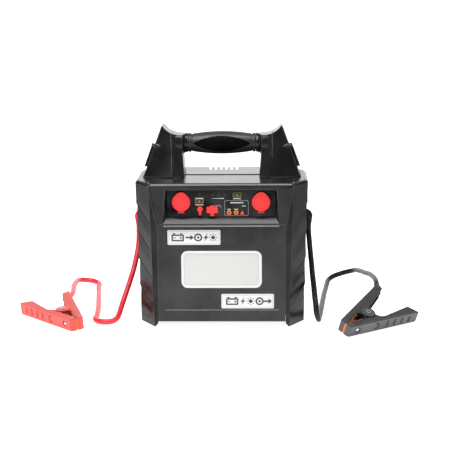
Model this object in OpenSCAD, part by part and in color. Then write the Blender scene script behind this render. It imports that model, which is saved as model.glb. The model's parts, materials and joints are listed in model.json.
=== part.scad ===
// Jump starter pack: a moulded case with a carrying handle, a lamp, a control panel,
// two 12 V outlets and two booster cables with spring clamps.
// The origin is on the floor under the middle of the case. The front faces -Y.

/* [Case] */
// Width of the case at its deck
body_w = 290; // [280:1:320]
// Depth of the case
body_d = 185; // [180:1:215]
// Height of the deck above the floor
body_h = 245; // [240:1:270]
// How much narrower each side is at the foot
side_taper = 6.2; // [0:0.1:10]
// Size of the cut corners, measured across the front
corner_x = 25.6; // [18:0.1:32]
// Size of the cut corners, measured along the side
corner_y = 40; // [30:0.5:48]
// Bevel round the deck
deck_bevel = 4; // [2:0.5:6]
// Wall of the mouldings
wall = 2.6; // [2:0.1:3.2]
// Gap left at every seam of the case
seam_gap = 0.3; // [0.2:0.05:0.5]
// Half width of the middle mouldings, up to where their seam flares
seam_x = 107; // [104:0.5:108]
// Height at which the side seam starts to flare
flare_z = 162.5; // [150:0.5:175]
// How much the seam flares by the deck
flare_x = 15.5; // [8:0.5:16]
// Height of the bottom edge of the middle mouldings
skirt_z = 9.8; // [6:0.1:14]
// Height of the side covers above the floor
foot_clear = 1.5; // [1:0.1:2.5]

/* [Front face] */
// Depth of the sunk face
face_sunk = 3.2; // [2:0.1:4]
// Half width of the sunk face
face_half = 97; // [94:0.5:98]
// Width of the slope beside the sunk face
face_slope = 7.5; // [4:0.5:8]
// Height of the sunk face's bottom edge
face_bottom = 30; // [26:0.5:34]
// Height of the lip between the face and the panel
lip_z = 176; // [174:0.5:178]
// Thickness of the lip
lip_t = 3; // [2:0.1:4]

/* [Panel] */
// Half width of the panel
panel_half = 90; // [86:0.5:92]
// Bottom edge of the panel
panel_z0 = 188; // [186:0.5:190]
// Top edge of the panel
panel_z1 = 231.4; // [230:0.2:233]
// How far the panel's face lies behind the front
panel_sunk = 9.5; // [8:0.1:11]
// Thickness of the panel's plate
panel_t = 2; // [1.5:0.1:2.5]
// Distance of each 12 V outlet from the panel's end
outlet_inset = 23.8; // [22:0.1:26]
// Height of the 12 V outlets
outlet_z = 212.8; // [211:0.1:214]
// Radius of the 12 V outlet's bore
outlet_r = 10.5; // [10.2:0.05:11]
// Depth of the 12 V outlet's bore
outlet_depth = 38; // [30:1:44]
// Radius of the outlet caps
cap_r = 15.2; // [14.8:0.1:16]
// Thickness of the outlet caps
cap_t = 3.4; // [3:0.1:4]
// Travel of the buttons
button_travel = 1.2; // [0.8:0.1:1.6]

/* [Lamp and labels] */
// Width of the lamp window
lamp_w = 134.6; // [120:0.2:140]
// Height of the lamp window
lamp_h = 63.7; // [58:0.1:68]
// Height of the lamp's centre
lamp_z = 99.2; // [96:0.1:102]
// Corner radius of the lamp window
lamp_r = 10.6; // [8:0.1:12]
// Width of the stickers
label_w = 88; // [80:0.5:92]
// Height of the stickers
label_h = 25; // [22:0.5:27]
// Thickness of the stickers
label_t = 0.4; // [0.3:0.05:0.6]

/* [Handle] */
// Half width of the opening for the hand, at the deck
hand_half = 63.5; // [58:0.5:68]
// Half width over the towers, at the deck
tower_half = 133.8; // [128:0.2:136]
// Height of the towers' peaks
peak_z = 331; // [325:0.5:340]
// Distance of the peaks from the middle
peak_x = 102.5; // [98:0.5:108]
// Height of the grip's centre line
grip_z = 301; // [297:0.5:305]
// Radius of the grip at its middle
grip_r = 19.4; // [17:0.1:20]
// Radius of the grip's ends
grip_end_r = 15.2; // [14:0.1:16]
// Radius of the collars that hold the grip
collar_r = 16.4; // [15.6:0.1:17]

/* [Clamps] */
// Length of the jaws in front of the pin
jaw_l = 57.8; // [52:0.2:60]
// Length of the arms behind the pin
arm_l = 85.5; // [78:0.5:92]
// Height of the clamp
clamp_h = 21; // [20:0.5:24]
// Wall of the clamp arms
arm_wall = 2; // [1.6:0.1:2.4]
// Half spread of the arms at their ends
arm_spread = 46.2; // [42:0.2:48]
// Half width of the jaws at their tips
jaw_half = 12; // [10:0.1:14]
// Radius of the clamp's pin
pin_r = 3; // [2.6:0.1:3.2]
// Wire thickness of the clamp's spring
wire_d = 1.6; // [1.4:0.1:1.8]
// Number of turns in the clamp's spring
spring_turns = 4; // [3:1:4]
// Diameter of the booster cables
cable_d = 9.5; // [8:0.5:9.5]

/* [Hidden] */

$fn = 48;
skin = 0.01;
far = 400;
running = 0.08;
soft_gap = 0.3;

ABS_BLACK = "#1b1c1e";
SOFT_BLACK = "#101011";
RED = "#e8232b";
MILK = "#f1f1ef";
COPPER = "#c77b4a";
STEEL = "#b9bcc0";
BOARD = "#1f5a35";

// ---- the case's outer form ----
half_d = body_d / 2;
face_y = -half_d + face_sunk;
panel_y = -half_d + panel_sunk;
panel_back_y = panel_y + panel_t;
cavity_y = half_d - face_sunk - wall;
cavity_x = seam_x - seam_gap / 2 - wall;
floor_z = skirt_z + wall;
deck_under = body_h - wall;

outlet_x = panel_half - outlet_inset;

function half_w(z) = body_w / 2 - side_taper * (1 - z / body_h);

// Outline of the case in plan, drawn in by inset on every side
function case_plan(hw, inset) =
    let (run = norm([corner_x, corner_y]), nx = corner_y / run, ny = corner_x / run,
         reach = nx * (hw - corner_x) + ny * half_d - inset,
         x1 = hw - inset, y1 = half_d - inset,
         xa = (reach - ny * y1) / nx, yb = (reach - nx * x1) / ny)
    [[x1, -yb], [x1, yb], [xa, y1], [-xa, y1], [-x1, yb], [-x1, -yb], [-xa, -y1], [xa, -y1]];

module case_block(inset = 0) {
    top = body_h - inset;
    hull() {
        linear_extrude(skin) polygon(case_plan(half_w(0), inset));
        translate([0, 0, top - deck_bevel])
            linear_extrude(skin) polygon(case_plan(half_w(top - deck_bevel), inset));
        translate([0, 0, top - skin])
            linear_extrude(skin) polygon(case_plan(half_w(top), inset + deck_bevel));
    }
}

// Half width of the middle mouldings' inside at a height above the flare
function flare_half(z) = cavity_x + flare_x * (z - flare_z) / (body_h - flare_z);

// Everything between the two side seams
module middle_zone(gap) {
    low = seam_x - gap;
    high = seam_x + flare_x - gap;
    rotate([90, 0, 0]) linear_extrude(far, center = true)
        polygon([[-low, -1], [low, -1], [low, flare_z], [high, body_h], [high, body_h + 1],
            [-high, body_h + 1], [-high, body_h], [-low, flare_z]]);
}

function round_rect(w, h, r, n = 6) =
    [for (c = [[1, 1, 0], [-1, 1, 90], [-1, -1, 180], [1, -1, 270]]) for (k = [0 : n])
        [c[0] * (w / 2 - r) + r * cos(c[2] + 90 * k / n), c[1] * (h / 2 - r) + r * sin(c[2] + 90 * k / n)]];

// Extrudes an outline drawn in X and Z, from y0 towards the back
module plate_xz(y0, t) {
    translate([0, y0 + t, 0]) rotate([90, 0, 0]) linear_extrude(t) children();
}

// Places a round piece with its axis along Y, from y0 towards the back
module along_y(x, z, y0) {
    translate([x, y0, z]) rotate([-90, 0, 0]) children();
}

module sunk_face(y_sign, top) {
    low = skirt_z;
    scale([1, y_sign, 1]) hull() {
        plate_xz(half_d, 1) polygon([[-face_half - face_slope, low], [face_half + face_slope, low],
            [face_half + face_slope, top + 1.5], [-face_half - face_slope, top + 1.5]]);
        plate_xz(half_d - face_sunk, skin) polygon([[-face_half, face_bottom], [face_half, face_bottom],
            [face_half, top], [-face_half, top]]);
    }
}

// ---- middle mouldings ----
screw_x = seam_x - 9;
screw_z = [28, 130, 224];
boss_r = 5.3;
pilot_r = 1.75;
screw_r = 1.7;
head_r = 3.6;
head_t = 2.4;
head_y = 8;
lead_hole_r = 5;
boot_y = 45;
boot_z = 170;
pocket_front = [[-face_half, lip_z + 1.3], [face_half, lip_z + 1.3], [panel_half + 2, lip_z + 20],
    [panel_half + 2, panel_z1 + 2.6], [-panel_half - 2, panel_z1 + 2.6], [-panel_half - 2, lip_z + 20]];
pocket_back = [[-panel_half - 0.2, panel_z0 - 0.2], [panel_half + 0.2, panel_z0 - 0.2],
    [panel_half + 0.2, panel_z1 + 0.2], [-panel_half - 0.2, panel_z1 + 0.2]];
window_half = 43;
window_z = [191, 229];
post_x = 46.4;
post_r = 2.4;
board_y = panel_back_y + 7;
board_t = 1.6;

module half_shell(y_sign) {
    difference() {
        intersection() {
            case_block();
            middle_zone(seam_gap / 2);
            translate([-far / 2, y_sign < 0 ? -far - seam_gap / 2 : seam_gap / 2, skirt_z])
                cube([far, far, body_h]);
        }
        difference() {
            intersection() {
                middle_zone(seam_gap / 2 + wall);
                translate([-far / 2, y_sign < 0 ? -cavity_y : -1, floor_z])
                    cube([far, cavity_y + 1, deck_under - floor_z]);
            }
            children();
        }
    }
}

module screw_bosses(y0, y1) {
    for (sx = [-1, 1], z = screw_z) along_y(sx * screw_x, z, y0) cylinder(r = boss_r, h = y1 - y0);
}

module front_housing() {
    well = wall + 2;
    color(ABS_BLACK) difference() {
        union() {
            difference() {
                half_shell(-1)
                    translate([-panel_half - well, -half_d, lip_z - 2])
                        cube([2 * (panel_half + well), half_d + panel_back_y + wall, panel_z1 - lip_z + 7]);
                sunk_face(-1, lip_z - lip_t / 2);
                hull() {
                    plate_xz(-half_d - 1, 1) polygon(pocket_front);
                    plate_xz(panel_back_y - skin, skin) polygon(pocket_back);
                }
            }
            translate([-face_half, -half_d + lip_t / 2, lip_z]) rotate([0, 90, 0])
                cylinder(d = lip_t, h = 2 * face_half);
            screw_bosses(-cavity_y - 0.5, -seam_gap / 2);
            for (sx = [-1, 1], z = [window_z[0] + 3, window_z[1] - 3])
                along_y(sx * post_x, z, panel_back_y + wall - 0.5)
                    cylinder(r = post_r, h = board_y - panel_back_y - wall + 0.5);
        }
        for (sx = [-1, 1], z = screw_z) along_y(sx * screw_x, z, -16) cylinder(r = pilot_r, h = 17);
        for (sx = [-1, 1]) along_y(sx * outlet_x, outlet_z, panel_back_y - 1)
            cylinder(r = socket_body_r + 0.1, h = wall + 2);
        translate([-window_half, panel_back_y - 1, window_z[0]])
            cube([2 * window_half, wall + 2, window_z[1] - window_z[0]]);
        plate_xz(face_y - 1, wall + 2) translate([0, lamp_z]) polygon(round_rect(lamp_w, lamp_h, lamp_r));
        tower_screw_holes();
    }
}

vent_count = 6;
vent_pitch = 9.4;
vent_w = 4.2;
vent_y = 55;

module rear_housing() {
    color(ABS_BLACK) difference() {
        union() {
            difference() {
                half_shell(1);
                sunk_face(1, body_h - 36);
            }
            screw_bosses(seam_gap / 2, cavity_y + 0.5);
        }
        for (sx = [-1, 1], z = screw_z) {
            along_y(sx * screw_x, z, -1) cylinder(r = screw_r + 0.5, h = head_y + 2);
            along_y(sx * screw_x, z, head_y) cylinder(r = head_r + 0.5, h = half_d);
        }
        for (k = [0 : vent_count - 1])
            translate([(k - (vent_count - 1) / 2) * vent_pitch - vent_w / 2, vent_y, body_h - 17])
                cube([vent_w, half_d, 20]);
        for (sx = [-1, 1]) translate([sx * cavity_x, boot_y, boot_z]) rotate([0, 90, 0])
            cylinder(r = lead_hole_r, h = 20, center = true);
        tower_screw_holes();
    }
}

// ---- side covers ----
slat_pitch = 47;
slat_depth = 1.8;
crease_depth = 0.5;
slat_angle = 33;
slat_top = 175;
corner_run = norm([corner_x, corner_y]);
corner_turn = atan2(corner_y, corner_x);
corner_lean = atan(side_taper * corner_y / corner_run / body_h);
side_lean = atan(side_taper / body_h);
side_slat_run = 20;

// One saw-tooth slat, cut along the diagonal from the point x = 0, z = z0 of a face
module slat_cut(z0) {
    step = slat_pitch * cos(slat_angle);
    translate([0, 0, z0]) rotate([0, -slat_angle, 0]) translate([-30, 0, 0])
        rotate([90, 0, 90]) linear_extrude(120)
            polygon([[-1, 0], [slat_depth, 0], [crease_depth, -step / 2], [0, -step + 0.3], [-1, -step + 0.3]]);
}

// Slats on a face whose lower left corner is the origin, x along it and y into the case
module slats(from, to, lift) {
    intersection() {
        union() for (k = [0 : 3]) slat_cut(slat_top + lift - k * slat_pitch);
        translate([from, -2, 14]) cube([to - from, 6, body_h]);
    }
}

module slatted_quarter() {
    hw = half_w(0);
    translate([hw - corner_x, -half_d, 0]) rotate([0, 0, corner_turn]) rotate([corner_lean, 0, 0])
        slats(4, corner_run + 2, 0);
    translate([hw, -half_d + corner_y, 0]) rotate([0, 0, 90]) rotate([side_lean, 0, 0])
        slats(-1, side_slat_run, corner_run * tan(slat_angle));
}

pad_x = 119;
pad_y = 55;
pad_w = 16;
pad_l = 26;
pad_t = 3.5;
boot_hole_r = 6;
boot_seat_r = 12;
foot_cut = 113.4;

module right_side_shell() {
    difference() {
        intersection() {
            case_block();
            translate([0, -far / 2, foot_clear]) cube([far, far, body_h]);
        }
        middle_zone(-seam_gap / 2);
        intersection() {
            case_block(wall);
            translate([0, -far / 2, foot_clear + wall + 2]) cube([far, far, body_h]);
        }
        slatted_quarter();
        difference() {
            mirror([0, 1, 0]) slatted_quarter();
            translate([half_w(0) - 5, boot_y, boot_z]) rotate([0, 90, 0]) cylinder(r = boot_seat_r, h = 20);
        }
        for (sy = [-1, 1]) scale([1, sy, 1]) {
            translate([pad_x - pad_w / 2, pad_y - pad_l / 2, 0]) cube([pad_w, pad_l, pad_t]);
        }
        rotate([90, 0, 0]) linear_extrude(far, center = true)
            polygon([[seam_x - 5, -1], [foot_cut, -1], [foot_cut, 0], [seam_x - 2, skirt_z], [seam_x - 5, skirt_z]]);
        translate([half_w(boot_z) - 8, boot_y, boot_z]) rotate([0, 90, 0]) cylinder(r = boot_hole_r, h = 20);
    }
}

module right_side_cover() {
    color(ABS_BLACK) right_side_shell();
}

module left_side_cover() {
    color(ABS_BLACK) mirror([1, 0, 0]) right_side_shell();
}

module rubber_feet() {
    color(SOFT_BLACK) for (sx = [-1, 1], sy = [-1, 1]) scale([sx, sy, 1])
        translate([pad_x - pad_w / 2, pad_y - pad_l / 2, 0]) cube([pad_w, pad_l, pad_t]);
}

// ---- handle ----
tower_front_x = 82;
tower_base_y = [30, 39, 28];
tower_top_y = [12.7, 20, 16.3];
dish_r = 38.6;
dish_drop = 15;
tower_wall = 3.2;
collar_x = 57.6;
collar_flare = 8;
collar_end = 84;
lug_reach = 5;
tenon_r = 12;
tenon_l = 8;
tower_screw = [[80, 18], [80, -18], [112, 14], [112, -14]];
tower_screw_l = 14;
opening_lean = 6.5;

function tower_plan(xs, ys) = [[xs[0], -ys[0]], [xs[1], -ys[1]], [xs[2], -ys[2]],
    [xs[2], ys[2]], [xs[1], ys[1]], [xs[0], ys[0]]];

// The tower's leaning form, drawn in by inset
module tower_form(inset, z0, z1) {
    hull() {
        translate([0, 0, z0]) linear_extrude(skin) polygon(tower_plan(
            [hand_half + inset, tower_front_x, tower_half - inset],
            [for (y = tower_base_y) y - inset]));
        translate([0, 0, z1 - skin]) linear_extrude(skin) polygon(tower_plan(
            [hand_half + opening_lean + inset, tower_front_x + 3, peak_x - inset],
            [for (y = tower_top_y) y - inset]));
    }
}

hollow_z = grip_z - collar_r - collar_flare;
tower_boss_r = 4.2;

// Half section of the round collar that opens out into the tower
module collar_profile() {
    polygon(concat(
        [[0, collar_x], [collar_r, collar_x]],
        [for (k = [0 : 8]) let (a = k * 90 / 8)
            [collar_r + collar_flare * (1 - cos(a)), collar_x + 1.5 + collar_flare * sin(a)]],
        [[collar_r + collar_flare, collar_end], [0, collar_end]]));
}

module right_tower_solid() {
    difference() {
        union() {
            tower_form(0, body_h, peak_z);
            translate([0, 0, grip_z]) rotate([0, 90, 0]) rotate_extrude($fn = 64) collar_profile();
            plate_xz(-tower_top_y[1] - lug_reach, 10) polygon([[105, 297.5], [119.5, 303.5], [119, 299.5], [113, 296]]);
        }
        translate([hand_half + opening_lean, 0, peak_z - dish_drop + dish_r]) rotate([90, 0, 0])
            cylinder(r = dish_r, h = far, center = true, $fn = 96);
        intersection() {
            tower_form(tower_wall, body_h - 1, peak_z - 6);
            difference() {
                translate([0, -far / 2, 0]) cube([far, far, hollow_z]);
                for (p = tower_screw) translate([p[0], p[1], body_h - 1]) cylinder(r = tower_boss_r, h = far);
            }
        }
        translate([collar_x - 1, 0, grip_z]) rotate([0, 90, 0])
            cylinder(r = tenon_r + running, h = tenon_l + 1.3);
        for (p = tower_screw) translate([p[0], p[1], body_h - 1]) cylinder(r = pilot_r, h = tower_screw_l);
    }
}

module right_handle_tower() {
    color(ABS_BLACK) right_tower_solid();
}

module left_handle_tower() {
    color(ABS_BLACK) mirror([1, 0, 0]) right_tower_solid();
}

module tower_screw_holes() {
    for (sx = [-1, 1], p = tower_screw) translate([sx * p[0], p[1], body_h - wall - 1])
        cylinder(r = screw_r + 0.5, h = wall + 2);
}

grip_half = collar_x - 0.2;
bead_x = 53;
belly_half = 50;
grip_bore = 9;

// Radius of the grip's belly at a distance x from its middle
function belly_r(x) = grip_r - (grip_r - grip_end_r) * pow(x / belly_half, 2);

function grip_outline(grow) = concat(
    [for (k = [-12 : 12]) [belly_r(k * belly_half / 12) + grow, k * belly_half / 12]],
    [[0, belly_half], [0, -belly_half]]);

module grip_half_profile() {
    polygon(concat(
        [[grip_bore, 0], [grip_r, 0]],
        [for (k = [1 : 12]) [belly_r(k * belly_half / 12), k * belly_half / 12]],
        [[grip_end_r - 0.8, belly_half + 1], [grip_end_r - 0.8, bead_x - 1], [grip_end_r + 0.9, bead_x],
            [grip_end_r + 1.2, bead_x + 1.5], [grip_end_r + 0.9, bead_x + 3], [grip_end_r, grip_half],
            [tenon_r, grip_half], [tenon_r, collar_x + tenon_l], [grip_bore, collar_x + tenon_l]]));
}

module handle_grip() {
    color(ABS_BLACK) translate([0, 0, grip_z]) difference() {
        rotate([0, 90, 0]) union() {
            rotate_extrude($fn = 64) grip_half_profile();
            mirror([0, 0, 1]) rotate_extrude($fn = 64) grip_half_profile();
        }
        for (sy = [-1, 1]) scale([1, sy, 1]) insert_form();
    }
}

insert_half = 49;
insert_rise = 13;
insert_t = 1.2;

// A pointed oval on the front of the grip, insert_t deep
module insert_form() {
    bow_r = (pow(insert_half, 2) + pow(insert_rise, 2)) / (2 * insert_rise);
    intersection() {
        rotate([90, 0, 0]) linear_extrude(40) intersection() {
            translate([0, insert_rise - bow_r]) circle(r = bow_r, $fn = 96);
            translate([0, bow_r - insert_rise]) circle(r = bow_r, $fn = 96);
        }
        difference() {
            rotate([0, 90, 0]) rotate_extrude($fn = 64) polygon(grip_outline(0.5));
            rotate([0, 90, 0]) rotate_extrude($fn = 64) polygon(grip_outline(-insert_t));
        }
    }
}

module grip_inserts() {
    color(SOFT_BLACK) translate([0, 0, grip_z])
        for (sy = [-1, 1]) scale([1, sy, 1]) insert_form();
}

// ---- clamp holders on the towers ----
holder_z = 278;
holder_l = 39;
holder_w = 24;
holder_stand = 4.8;
holder_plate = 2;
tower_lean = atan((tower_half - peak_x) / (peak_z - body_h));

module right_holder() {
    x = tower_half - (holder_z - body_h) * tan(tower_lean);
    translate([x + 0.03, 0, holder_z]) rotate([0, -tower_lean, 0]) {
        translate([0, -4, -holder_l / 2]) cube([holder_stand, 8, holder_l]);
        translate([holder_stand - holder_plate, -holder_w / 2, -holder_l / 2])
            cube([holder_plate, holder_w, holder_l]);
        translate([0, -holder_w / 2, holder_l / 2 - 2]) cube([holder_stand, holder_w, 2]);
    }
}

module right_clamp_holder() {
    color(SOFT_BLACK) right_holder();
}

module left_clamp_holder() {
    color(SOFT_BLACK) mirror([1, 0, 0]) right_holder();
}

// ---- panel ----
socket_body_r = outlet_r + 1.7;
flange_r = 13.6;
flange_t = 1.4;
jack_x = -35.1;
jack_z = 201;
jack_r = 3.6;
usb_x = -14.9;
usb_z = 199.7;
volt_pos = [-36.1, 214.4];
power_pos = [26.4, 224.5];
button_size = [10.6, 4.6];
led_r = 1.4;
level_led_pos = [[-36.1, 225.4], [-13.8, 224.7], [-4.1, 224.7], [5.7, 224.7]];
jump_led_pos = [[13.1, 194.8], [24.9, 194.8]];
jump_led_r = 2.4;
tri_pos = [35, 194.4];
tri_r = 3.2;

module panel_fascia() {
    mid_z = (panel_z0 + panel_z1) / 2;
    color("#0c0d0f") difference() {
        plate_xz(panel_y, panel_t) translate([0, mid_z])
            polygon(round_rect(2 * panel_half, panel_z1 - panel_z0, 2.5));
        for (sx = [-1, 1]) along_y(sx * outlet_x, outlet_z, panel_y - 1) cylinder(r = socket_body_r + 0.1, h = 5);
        along_y(jack_x, jack_z, panel_y - 1) cylinder(r = jack_r + 0.1, h = 5);
        translate([usb_x - 7.4, panel_y - 1, usb_z - 3.7]) cube([14.8, 5, 7.4]);
        for (p = [volt_pos, power_pos])
            translate([p[0] - button_size[0] / 2 - 0.2, panel_y - 1, p[1] - button_size[1] / 2 - 0.2])
                cube([button_size[0] + 0.4, 5, button_size[1] + 0.4]);
        for (p = level_led_pos) along_y(p[0], p[1], panel_y - 1) cylinder(r = led_r + 0.1, h = 5);
        for (p = jump_led_pos) along_y(p[0], p[1], panel_y - 1) cylinder(r = jump_led_r + 0.1, h = 5);
        along_y(tri_pos[0], tri_pos[1], panel_y - 1) cylinder(r = 2, h = 5);
    }
}

module outlet(x) {
    mouth = panel_y - flange_t;
    along_y(x, outlet_z, mouth) difference() {
        union() {
            cylinder(r = flange_r, h = flange_t, $fn = 64);
            cylinder(r = socket_body_r, h = outlet_depth + 3, $fn = 64);
        }
        translate([0, 0, -1]) cylinder(r = outlet_r, h = outlet_depth + 1, $fn = 64);
    }
}

module left_socket() {
    color(SOFT_BLACK) outlet(-outlet_x);
}

module right_socket() {
    color(SOFT_BLACK) outlet(outlet_x);
}

nut_r = 15.6;
nut_t = 4;

module socket_nuts() {
    color(SOFT_BLACK) for (sx = [-1, 1]) along_y(sx * outlet_x, outlet_z, panel_back_y + wall) difference() {
        cylinder(r = nut_r, h = nut_t, $fn = 6);
        translate([0, 0, -1]) cylinder(r = socket_body_r + 0.05, h = nut_t + 2, $fn = 64);
    }
}

hinge_r = 1.3;
hinge_y = panel_y - 2;
anchor_w = 10.5;

// Rubber knuckle and strap of a cap, from the hinge at z = 0 up to the cap's rim
module cap_strap(w, up) {
    translate([-w / 2, 0, 0]) rotate([0, 90, 0]) cylinder(r = hinge_r, h = w);
    translate([-w / 2, -1, 0]) cube([w, 2, up]);
}

// Fixed half of the hinge: a pad on the panel, hollowed for the knuckle
module cap_anchor(w) {
    difference() {
        translate([-w / 2, 0.4, -2.6]) cube([w, 1.6, 3.4]);
        translate([-w, 0, 0]) rotate([0, 90, 0]) cylinder(r = hinge_r + running, h = 2 * w);
    }
}

cap_drop = 16.9;
grip_tab_r = 10.5;
small_drop = 8.4;
usb_drop = 8.8;

module outlet_cap(x) {
    back = panel_y - flange_t - 0.2;
    translate([x, 0, outlet_z]) {
        along_y(0, 0, back - cap_t) {
            cylinder(r1 = cap_r - 0.7, r2 = cap_r, h = 0.8, $fn = 64);
            translate([0, 0, 0.8]) cylinder(r = cap_r, h = cap_t - 0.8, $fn = 64);
        }
        along_y(0, cap_r - grip_tab_r + 1.8, back - cap_t) cylinder(r = grip_tab_r, h = cap_t, $fn = 64);
        along_y(0, 0, back - 0.1) difference() {
            cylinder(r = cap_r, h = panel_y - back - 0.4, $fn = 64);
            translate([0, 0, -1]) cylinder(r = flange_r + 0.5, h = 5, $fn = 64);
        }
    }
    translate([x, hinge_y, outlet_z - cap_drop]) cap_strap(anchor_w, 3);
}

module left_socket_cap() {
    color(RED) outlet_cap(-outlet_x);
}

module right_socket_cap() {
    color(RED) outlet_cap(outlet_x);
}

module charge_jack() {
    color(SOFT_BLACK) {
        along_y(jack_x, jack_z, panel_y - 0.8) difference() {
            union() {
                cylinder(r = jack_r + 0.5, h = 0.8);
                cylinder(r = jack_r, h = board_y - panel_y + 0.8);
            }
            translate([0, 0, -1]) cylinder(r = 2.75, h = 8);
        }
    }
}

module charge_jack_cap() {
    back = panel_y - 1;
    color(RED) {
        along_y(jack_x, jack_z, back - 2) cylinder(r = 4.7, h = 2);
        translate([jack_x, hinge_y, jack_z - small_drop]) cap_strap(4.4, 5);
    }
}

module usb_port() {
    color(STEEL) translate([usb_x, 0, usb_z]) {
        difference() {
            translate([-7.25, panel_y - 0.6, -3.55]) cube([14.5, board_y - panel_y + 0.6, 7.1]);
            translate([-6.25, panel_y - 1, -2.55]) cube([12.5, board_y - panel_y, 5.1]);
        }
        translate([-5.5, panel_y, 0.2]) cube([11, board_y - panel_y - 0.5, 1.8]);
    }
}

module usb_port_cap() {
    back = panel_y - 0.9;
    color(RED) {
        plate_xz(back - 2.2, 2.2) translate([usb_x, usb_z]) polygon(round_rect(18.6, 10.6, 1.6));
        plate_xz(back - 2.2, 2.2) translate([usb_x, usb_z + 5]) polygon(round_rect(8, 5, 1.4));
        translate([usb_x, hinge_y, usb_z - usb_drop]) cap_strap(7, 5);
    }
}

button_proud = 1.3;
button_flange = 0.8;
flange_back = panel_back_y + 0.3 + button_flange;
switch_h = board_y - flange_back - button_travel - 0.1;

module panel_button(p) {
    w = button_size[0];
    h = button_size[1];
    color(SOFT_BLACK) {
        plate_xz(panel_y - button_proud, flange_back - panel_y + button_proud)
            translate(p) polygon(round_rect(w, h, 0.8));
        plate_xz(flange_back - button_flange, button_flange) translate(p) square([w + 2, h + 2], center = true);
    }
}

module volt_button() {
    panel_button(volt_pos);
}

module power_button() {
    panel_button(power_pos);
}

module level_leds() {
    color("#5a6a5a") for (p = level_led_pos) along_y(p[0], p[1], panel_y - 0.3) {
        cylinder(r = led_r, h = board_y - panel_y + 0.3);
        translate([0, 0, panel_t + 1]) cylinder(r = led_r + 0.4, h = 1);
    }
}

module jump_leds() {
    color("#ff5a2a") {
        for (p = jump_led_pos) along_y(p[0], p[1], panel_y - 0.6) cylinder(r = jump_led_r, h = board_y - panel_y + 0.6);
        along_y(tri_pos[0], tri_pos[1], panel_y - 0.2) cylinder(r = 1.9, h = board_y - panel_y + 0.2);
        along_y(tri_pos[0], tri_pos[1] - 0.6, panel_y - 0.5) rotate([0, 0, 30]) cylinder(r = tri_r, h = 0.5, $fn = 3);
    }
}

module panel_board() {
    color(BOARD) {
        translate([-post_x - 3.2, board_y, window_z[0] - 1])
            cube([2 * post_x + 6.4, board_t, window_z[1] - window_z[0] + 2]);
        for (p = [volt_pos, power_pos])
            translate([p[0] - 3, board_y - switch_h, p[1] - 2.2]) cube([6, switch_h, 4.4]);
    }
}

module cap_anchors() color(ABS_BLACK) {
    for (sx = [-1, 1]) translate([sx * outlet_x, hinge_y, outlet_z - cap_drop]) cap_anchor(anchor_w);
    translate([jack_x, hinge_y, jack_z - small_drop]) cap_anchor(4.4);
    translate([usb_x, hinge_y, usb_z - usb_drop]) cap_anchor(7);
}

// ---- lamp and labels ----
lens_proud = 0.7;
lens_flange = 3;

module lamp_lens() {
    color(MILK) translate([0, 0, lamp_z]) {
        plate_xz(face_y - lens_proud, wall + lens_proud) polygon(round_rect(lamp_w - 0.4, lamp_h - 0.4, lamp_r));
        plate_xz(face_y + wall, 1.6) polygon(round_rect(lamp_w + 2 * lens_flange, lamp_h + 2 * lens_flange, lamp_r));
    }
}

reflector_y = -half_d + face_sunk + wall + 1.6;
lamp_board_t = 1.6;
lamp_board_y = reflector_y + 9.1;

module lamp_reflector() {
    depth = lamp_board_y - reflector_y;
    color("#e9eaec") difference() {
        plate_xz(reflector_y, depth) translate([0, lamp_z])
            polygon(round_rect(lamp_w + 2 * lens_flange, lamp_h + 2 * lens_flange, lamp_r));
        plate_xz(reflector_y - 1, depth - 0.6) translate([0, lamp_z])
            polygon(round_rect(lamp_w - 2, lamp_h - 2, lamp_r));
        for (k = [-2 : 2], sz = [-1, 1]) translate([k * 25 - 3, lamp_board_y - 3, lamp_z + sz * 15 - 3]) cube([6, 5, 6]);
    }
}

module lamp_board() {
    color("#f4f4f0") {
        translate([-lamp_w / 2, lamp_board_y, lamp_z - lamp_h / 2]) cube([lamp_w, lamp_board_t, lamp_h]);
        for (k = [-2 : 2], sz = [-1, 1])
            translate([k * 25 - 2.5, lamp_board_y - 1.4, lamp_z + sz * 15 - 2.5]) cube([5, 1.4, 5]);
    }
}

upper_label_pos = [-45.5, 154];
lower_label_pos = [43.4, 44.6];

module sticker(p) {
    plate_xz(face_y - label_t, label_t) translate(p) polygon(round_rect(label_w, label_h, 2));
}

module upper_label() {
    color(MILK) sticker(upper_label_pos);
}

module lower_label() {
    color(MILK) sticker(lower_label_pos);
}

// ---- inside the case ----
tray_t = 3;
post_w = 10;
post_h = 12;
link_t = 1.6;
shelf_z = outlet_z - 16.8;
battery_z = floor_z + tray_t;
battery_top = shelf_z - link_t - post_h;
battery_h = battery_top - battery_z;
battery_w = 2 * (screw_x - boss_r - 2.2);
battery_split = 3.7;
battery_gap = 0.2;
battery_d = battery_split - battery_gap - lamp_board_y - lamp_board_t - 1.4;
post_pos_x = battery_w / 2 - 12.5;
front_post_y = battery_split - battery_gap - battery_d + 13;
rear_post_y = battery_split + battery_gap + battery_d - 12.4;
bracket_t = 2;
bracket_half = flare_half(battery_top);
board_size = [120, 76, 1.6];

module battery(y0) {
    translate([-battery_w / 2, y0, battery_z]) {
        cube([battery_w, battery_d, battery_h - 8]);
        translate([1.5, 1.5, battery_h - 8]) cube([battery_w - 3, battery_d - 3, 8]);
    }
}

module front_battery() {
    color("#2b2d33") battery(battery_split - battery_gap - battery_d);
}

module rear_battery() {
    color("#2b2d33") battery(battery_split + battery_gap);
}

module battery_terminals() {
    color("#c9a24a") for (sx = [-1, 1], y = [front_post_y, rear_post_y])
        translate([sx * post_pos_x - post_w / 2, y - post_w / 2, battery_top]) cube([post_w, post_w, post_h]);
}

module battery_tray() {
    color(SOFT_BLACK) translate([-battery_w / 2 - 1, battery_split - battery_d - 1, floor_z])
        cube([battery_w + 2, 2 * battery_d + 2, tray_t]);
}

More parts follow.
